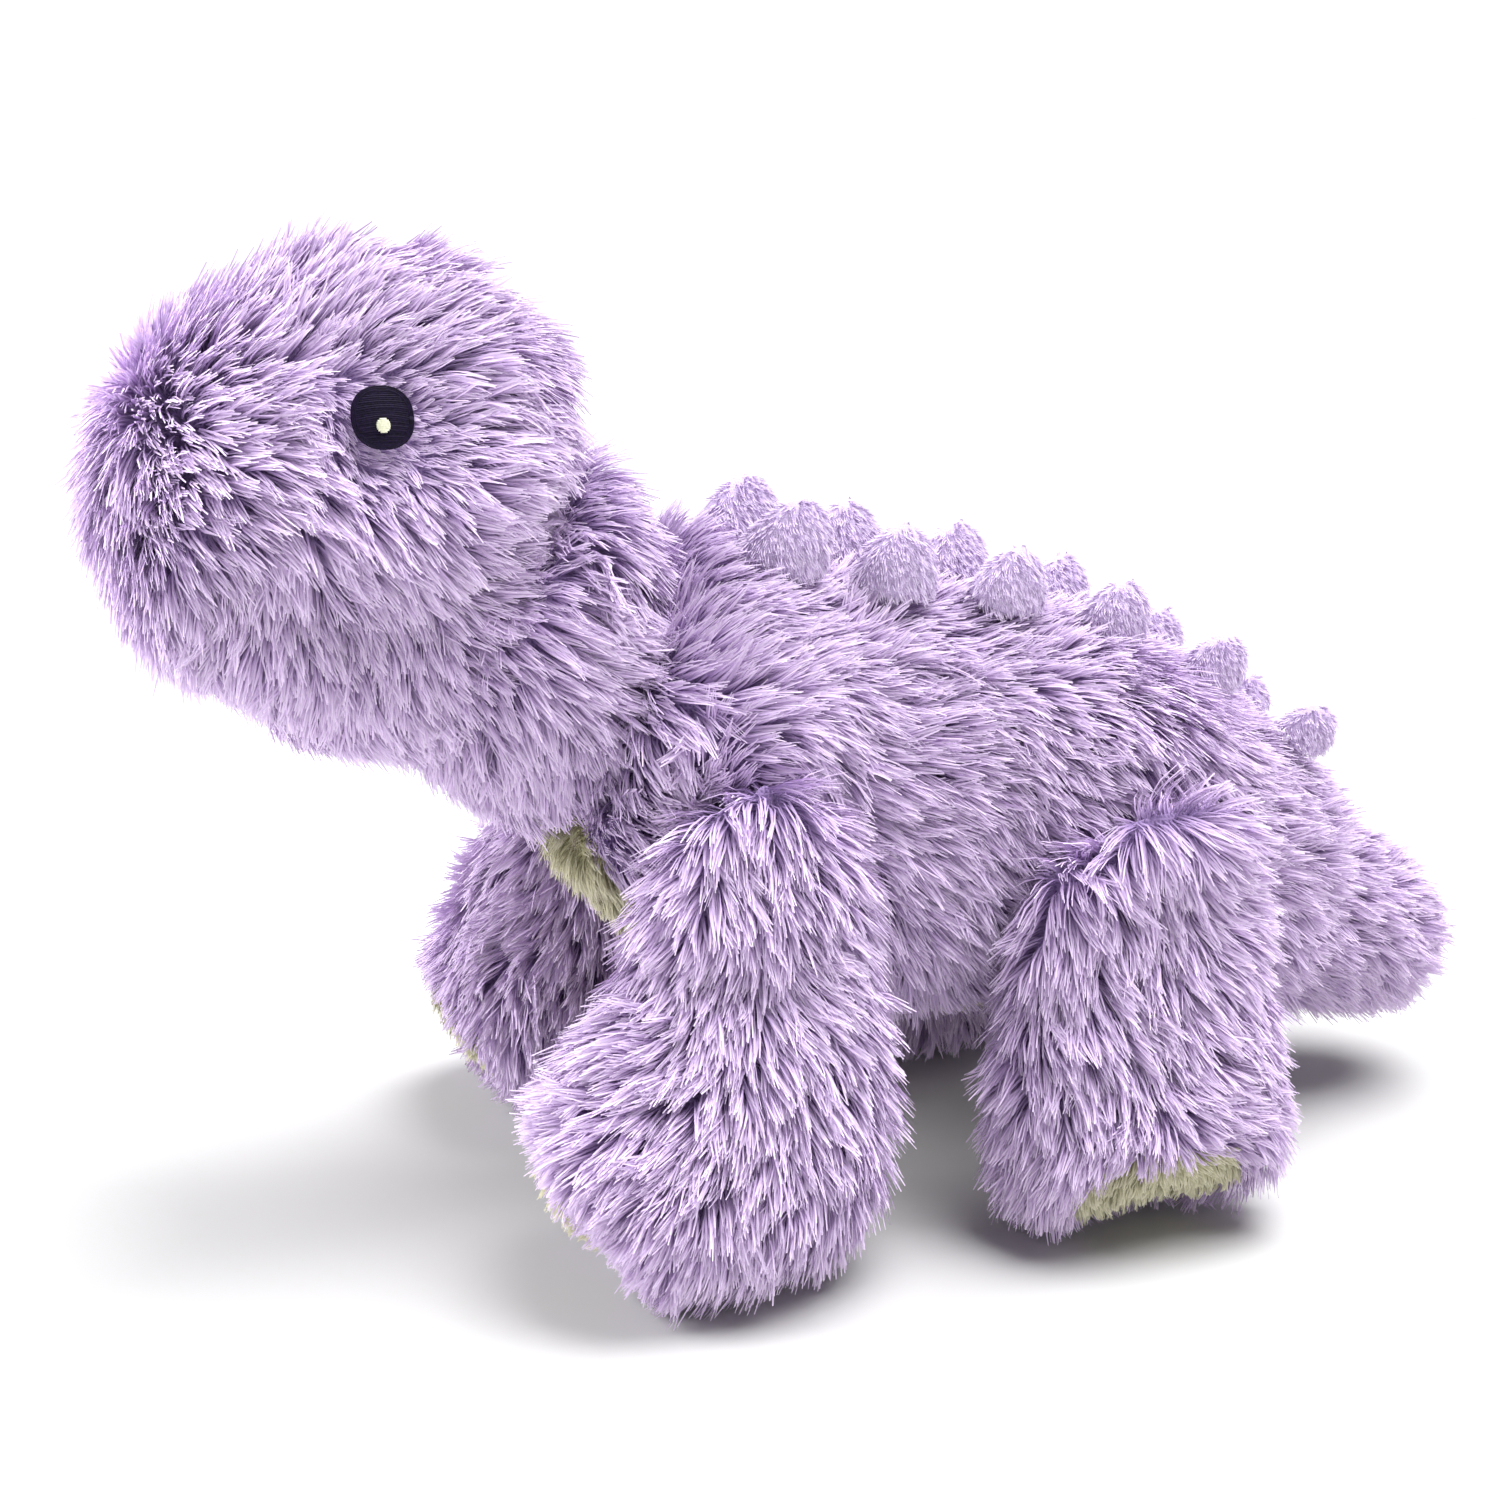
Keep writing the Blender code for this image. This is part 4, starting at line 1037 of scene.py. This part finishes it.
def makeEye(sideName):
    node = "eye_" + sideName
    centre, right, up, out, radius, top = discOf(node)
    spacing = threadSettings["spacingMm"] * mm
    columns = threadSettings["columns"]
    square = threadSettings["squareness"]
    dice = random.Random(5)

    def spot(x, y, height):
        away = min(1.0, (x * x + y * y) / radius ** 2)
        return centre + right * x + up * y + out * (top + height - threadSettings["domeMm"] * mm * away)

    radius *= threadSettings["reach"]
    lines = []
    rows = int(2 * radius / spacing)
    for k in range(rows):
        y = -radius + (k + 0.5) * spacing
        half = radius * (1 - abs(y / radius) ** square) ** (1 / square) * 0.97
        bend = threadSettings["bend"] * (1 - abs(y / radius))
        layer = dice.uniform(0, threadSettings["layerMm"]) * mm
        lines.append([
            spot(x, y - bend * (x * x) / radius * 0.8, layer + 0.1 * mm)
            for x in [half * (2 * j / columns - 1) for j in range(columns + 1)]
        ])
    for k in range(threadSettings["rimRows"]):
        rim = radius * (1.0 - threadSettings["rimStep"] * k)
        ring = []
        for j in range(threadSettings["rimSteps"] + 1):
            turn = 2 * math.pi * j / threadSettings["rimSteps"]
            c, s = math.cos(turn), math.sin(turn)
            x = math.copysign(abs(c) ** (2 / square), c) * rim
            y = math.copysign(abs(s) ** (2 / square), s) * rim
            ring.append(spot(x, y, 0.35 * mm - 0.05 * mm * k))
        lines.append(ring)
    threads = threadMesh("eye_stitches", lines, threadSettings["radiusMm"] * mm)
    stitches = newObject("eye_%s_stitches" % sideName, threads, eyeThread)
    attach(stitches, "head")
    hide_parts(node)
    glint, _, _, _, glintRadius, _ = discOf("eye_glint_" + sideName)
    glintRadius *= threadSettings["glintReach"]
    dx, dy = (glint - centre).dot(right), (glint - centre).dot(up)
    short = []
    for k in range(threadSettings["glintRows"]):
        y = dy - glintRadius + (k + 0.5) * 2 * glintRadius / threadSettings["glintRows"]
        half = glintRadius * math.sqrt(max(0.05, 1 - ((y - dy) / glintRadius) ** 2))
        short.append(
            [spot(dx + half * t, y, threadSettings["glintLiftMm"] * mm) for t in (-1, -0.5, 0, 0.5, 1)]
        )
    threads = threadMesh("glint_stitches", short, threadSettings["glintRadiusMm"] * mm)
    glintObj = newObject("eye_glint_%s_stitches" % sideName, threads, creamThread)
    attach(glintObj, "head")
    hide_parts("eye_glint_" + sideName)
    return centre, radius


eyes = [makeEye(sideName) for sideName in ("left", "right")]
print("eyes stitched")


# long pile on every cover panel

pileSettings = {
    "spacingMm": 1.17, "lockMm": 5.2, "lockPull": 0.5, "strayDegrees": 12, "smallest": 0.8, "largest": 1.15,
    "creamSpacingMm": 1.15, "creamScale": 0.62, "soleScale": 0.42, "hemReachMm": 13.0, "hemScale": 0.35,
    "sparser": {"belly": 1.15, "inner": 1.09, "back_panel": 1.05, "trunk_left": 1.04, "trunk_right": 1.04},
    "bedReachMm": 5.5, "legTopReachMm": 6.0, "legTopMm": 92, "lumpShare": 2.0, "footShareMm": 16.0,
    "foldShorter": 0.45, "foldWider": 1.25, "lookOutMm": 6, "crowdedPile": 0.85, "crowdedThick": 0.8,
    "eyeShortest": 0.30, "eyeClearMm": 0.6, "floorPile": 0.55,
}


def neighbourTree(body):
    return cadTree([n for other in cadBodies if other != body for n in coverNodes(other)])[0]


otherTrees = {body: neighbourTree(body) for body in cadBodies}
total = 0
for number, (body, obj) in enumerate(backings.items()):
    mesh = obj.data
    coords, normals = coordsOf(mesh), normalsOf(mesh)
    owner, gap = ownerOf(body, mesh, 7)
    gap -= pileSettings["lumpShare"] * np.abs(lumpPush(body, coords / mm))
    if "leg" in body:
        gap -= pileSettings["footShareMm"] * np.clip(1 - coords[:, 2] / mm / feet[familyOf(body)][0], 0, 1)
    comb = combDirections(body, coords, normals)
    pile = np.ones(len(coords))
    thick = np.ones(len(coords))
    if body == "head":
        for centre, radius in eyes:
            away = np.linalg.norm(coords - np.array(centre), axis=1) / mm
            shortest = pileSettings["eyeShortest"]
            pile *= np.clip(shortest + 0.7 * (away - 8.5) / 12, shortest, 1)
            thick[away < radius / mm + pileSettings["eyeClearMm"]] = 0
    lookedFrom = coords + normals * pileSettings["lookOutMm"] * mm
    crowd = np.array([otherTrees[body].find_nearest(Vector(p))[3] for p in lookedFrom]) / mm
    pressed = np.clip((crowd - 1.0) / 4.0, 0, 1)
    pile *= pileSettings["crowdedPile"] + (1 - pileSettings["crowdedPile"]) * pressed
    thick *= pileSettings["crowdedThick"] + (1 - pileSettings["crowdedThick"]) * pressed
    near = np.clip((coords[:, 2] / mm - surface["lowestMm"]) / 8, 0, 1)
    pile *= pileSettings["floorPile"] + (1 - pileSettings["floorPile"]) * near
    flat = coords / mm
    flat[:, 1] = -np.abs(flat[:, 1])
    for where, depth, width, points in folds.values():
        if body.startswith(where) and depth > 0:
            away = distanceToLine(flat, points) / (pileSettings["foldWider"] * width)
            pile *= 1 - pileSettings["foldShorter"] * np.exp(-away ** 2)
    hem = np.ones(len(coords))
    creamNodes = [
        n for n in coverNodes(body if "leg" in body else "trunk") if n == "belly_panel" or n.endswith("sole")
    ]
    creamTree, _ = cadTree(creamNodes)
    for i, place in enumerate(lookedFrom):
        far = creamTree.find_nearest(Vector(place))[3] / mm
        nearShare = min(1, far / pileSettings["hemReachMm"])
        hem[i] = pileSettings["hemScale"] + (1 - pileSettings["hemScale"]) * nearShare
    faces = [tuple(p.vertices) for p in mesh.polygons]
    ownerIndex = {name: [] for name in coverNodes(body)}
    reachOut = np.full(len(coords), pileSettings["bedReachMm"])
    if "leg" in body:
        reachOut += pileSettings["legTopReachMm"] * np.clip(
            (coords[:, 2] / mm - pileSettings["legTopMm"]) / 10, 0, 1
        )
    for i, face in enumerate(faces):
        votes = [owner[v] for v in face]
        name = max(sorted(set(votes)), key=votes.count)
        cream = name == "belly_panel" or name.endswith("sole")
        mesh.polygons[i].material_index = 1 if cream else 0
        if min(gap[v] - reachOut[v] for v in face) < 0:
            ownerIndex[name].append(face)
    for k, (name, picked) in enumerate(ownerIndex.items()):
        if not picked:
            print("no bed for", name)
            continue
        cream = name == "belly_panel" or name.endswith("sole")
        shorten = pileSettings["creamScale"] if name == "belly_panel" else pileSettings["soleScale"]
        length = pile * shorten if cream else pile * hem
        bed = bedFrom("bed", coords, picked, comb, normals, length, thick)
        seed = 100 * number + k
        spacing = pileSettings["creamSpacingMm"] if cream else pileSettings["spacingMm"]
        for part, sparser in pileSettings["sparser"].items():
            spacing *= sparser if part in name else 1
        finish = creamPlush if cream else lilacPlush
        piece = sewPile(
            name.replace("_panel", "") + "_pile", bed, longTufts, finish, seed, spacing, pileSettings
        )
        count = sum(len(p.vertices) - 2 for p in piece.data.polygons)
        total += count
        print(piece.name, count)
        bpy.data.objects.remove(bed)
        attach(piece, body)
        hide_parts(name)
    stuffing = [n for n in cadBodies[body] if n.endswith("stuffing")]
    if stuffing:
        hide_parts(*stuffing)
    attach(obj, body)
    print(body, "has its pile, triangles so far", total)


# spikes

spikeSettings = {
    "voxelMm": 1.3, "spacingMm": 0.95, "lockMm": 4.0, "lockPull": 0.2, "strayDegrees": 9, "smallest": 0.8,
    "largest": 1.1, "flare": 0.30, "insetMm": 0.9, "seamShare": 8, "facingLeast": -0.75,
}
for name in sorted(n for n in cadBodies["trunk"] if n.startswith("spike")):
    bm = bmesh.new()
    bm.from_mesh(frame["nodes"][name].data)
    bmesh.ops.remove_doubles(bm, verts=bm.verts, dist=1e-5)
    mesh = bpy.data.meshes.new(name)
    bm.to_mesh(mesh)
    bm.free()
    spike = newObject(name + "_backing", mesh, spikeBacking)
    remesh = spike.modifiers.new("voxels", "REMESH")
    remesh.mode = "VOXEL"
    remesh.voxel_size = spikeSettings["voxelMm"] * mm
    soften = spike.modifiers.new("soften", "SMOOTH")
    soften.factor = 0.5
    soften.iterations = 3
    applied(spike)
    mesh = spike.data
    coords, normals = coordsOf(mesh), normalsOf(mesh)
    coords -= normals * spikeSettings["insetMm"] * mm
    middle = coords.mean(0)
    share = (coords[:, 2] - coords[:, 2].min()) / np.ptp(coords[:, 2])
    wider = 1 + spikeSettings["flare"] * (1 - share) ** 0.7
    coords[:, :2] = middle[:2] + (coords[:, :2] - middle[:2]) * wider[:, None]
    setCoords(mesh, coords)
    coords, normals = coordsOf(mesh), normalsOf(mesh)
    mesh.shade_smooth()
    mesh.materials.clear()
    mesh.materials.append(spikeBacking)
    down = np.tile([0.25, 0.0, -1.0], (len(coords), 1))
    down -= normals * (down * normals).sum(1, keepdims=True)
    down /= np.maximum(np.linalg.norm(down, axis=1, keepdims=True), 1e-9)
    seamHeight = np.percentile(coords[:, 2], spikeSettings["seamShare"])
    faces = [
        tuple(p.vertices) for p in mesh.polygons
        if p.center.z > seamHeight and p.normal.z > spikeSettings["facingLeast"]
    ]
    ones = np.ones(len(coords))
    bed = bedFrom("bed", coords, faces, down, normals, ones, ones)
    seed = 900 + len(name) + ord(name[-1]) + (50 if "left" in name else 0)
    piece = sewPile(
        name + "_pile", bed, shortTufts, spikePlush, seed, spikeSettings["spacingMm"], spikeSettings,
    )
    total += sum(len(p.vertices) - 2 for p in piece.data.polygons)
    bpy.data.objects.remove(bed)
    for obj in (piece, spike):
        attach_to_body(obj, "trunk")
        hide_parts(name)
print("spikes covered, triangles", total)

for node, material in (
    ("grain_bag_left", linerCloth), ("grain_bag_right", linerCloth), ("grain_fill", cerealGrain)
):
    inside = frame["nodes"][node]
    inside.data.materials.clear()
    inside.data.materials.append(material)

for shelf in (longTufts, shortTufts):
    for tuft in list(shelf.objects):
        bpy.data.objects.remove(tuft)
    bpy.data.collections.remove(shelf)


# floor, light and camera

studio = {
    "floorMetres": 40.0, "keyWatts": 14.0, "keyPlace": (-1.0, 0.20, 0.75), "keySize": 0.6,
    "skyStrength": 0.18, "sunStrength": 5.1, "sunDegrees": 45, "sunFrom": (0.28, -0.06, 1.0),
    "ringMetres": 14.0, "ringHeight": 2.6, "ringSunk": 0.05, "ringSides": 48, "floorTone": 0.62,
    "aimHeight": 0.08,
}
viewFrom = {
    "placeMm": (-230.8, -481.2, 255.9), "turn": 22.97, "dip": 16.39, "roll": 2.08, "lens": 57.58,
    "sensor": 36.0,
}

floorMesh = bpy.data.meshes.new("floor")
half = studio["floorMetres"] / 2
floorMesh.from_pydata(
    [(-half, -half, 0), (half, -half, 0), (half, half, 0), (-half, half, 0)], [], [(0, 1, 2, 3)]
)
# matt white paper under the toy: takes a soft shadow and shows no gloss
floorFinish, _, _ = newMaterial(
    "matt_white_floor", Base_Color=(studio["floorTone"],) * 3 + (1,), Roughness=1.0
)
floor = newObject("floor", floorMesh, floorFinish)

ringMesh = bpy.data.meshes.new("backdrop")
ringSides = studio["ringSides"]
ringTurns = [math.tau * k / ringSides for k in range(ringSides)]
ringSpots = [(math.cos(a) * studio["ringMetres"], math.sin(a) * studio["ringMetres"]) for a in ringTurns]
ringMesh.from_pydata(
    [(x, y, z) for z in (-studio["ringSunk"], studio["ringHeight"]) for x, y in ringSpots], [],
    [(k, k + ringSides, (k + 1) % ringSides + ringSides, (k + 1) % ringSides) for k in range(ringSides)],
)
# a lit white sweep: so bright that its edge with the floor can't be seen
backdropFinish, _, backdropShader = newMaterial("white_backdrop", Roughness=1.0)
backdropShader.inputs["Emission Color"].default_value = (1, 1, 1, 1)
backdropShader.inputs["Emission Strength"].default_value = 1.0
newObject("backdrop", ringMesh, backdropFinish)

world = bpy.data.worlds.new("studio")
scene.world = world
world.use_nodes = True
world.node_tree.nodes["Background"].inputs["Color"].default_value = (1, 1, 1, 1)
world.node_tree.nodes["Background"].inputs["Strength"].default_value = studio["skyStrength"]


def softLight(name, place, watts, size):
    lamp = bpy.data.lights.new(name, "AREA")
    lamp.energy = watts
    lamp.size = size
    obj = bpy.data.objects.new(name, lamp)
    obj.location = place
    aim = Vector((0, 0, studio["aimHeight"])) - Vector(place)
    obj.rotation_euler = aim.to_track_quat("-Z", "Y").to_euler()
    scene.collection.objects.link(obj)


softLight("key_light", studio["keyPlace"], studio["keyWatts"], studio["keySize"])
overhead = bpy.data.lights.new("overhead_light", "SUN")
overhead.energy = studio["sunStrength"]
overhead.angle = math.radians(studio["sunDegrees"])
overheadObject = bpy.data.objects.new("overhead_light", overhead)
overheadObject.rotation_euler = (-Vector(studio["sunFrom"])).to_track_quat("-Z", "Y").to_euler()
scene.collection.objects.link(overheadObject)

turn, dip, roll = (math.radians(viewFrom[key]) for key in ("turn", "dip", "roll"))
ahead = Vector((math.sin(turn) * math.cos(dip), math.cos(turn) * math.cos(dip), -math.sin(dip)))
level = Vector((math.cos(turn), -math.sin(turn), 0))
above = level.cross(ahead)
camera = bpy.data.objects.new("camera", bpy.data.cameras.new("camera"))
camera.data.lens = viewFrom["lens"]
camera.data.sensor_width = viewFrom["sensor"]
camera.data.dof.use_dof = False
camera.data.clip_start = 0.01
rightward = level * math.cos(roll) + above * math.sin(roll)
upward = above * math.cos(roll) - level * math.sin(roll)
camera.matrix_world = Matrix.Translation(Vector(viewFrom["placeMm"]) * mm) @ Matrix(
    (rightward, upward, -ahead)
).transposed().to_4x4()
scene.collection.objects.link(camera)
scene.camera = camera
scene.view_settings.view_transform = "Standard"

print("scene ready")
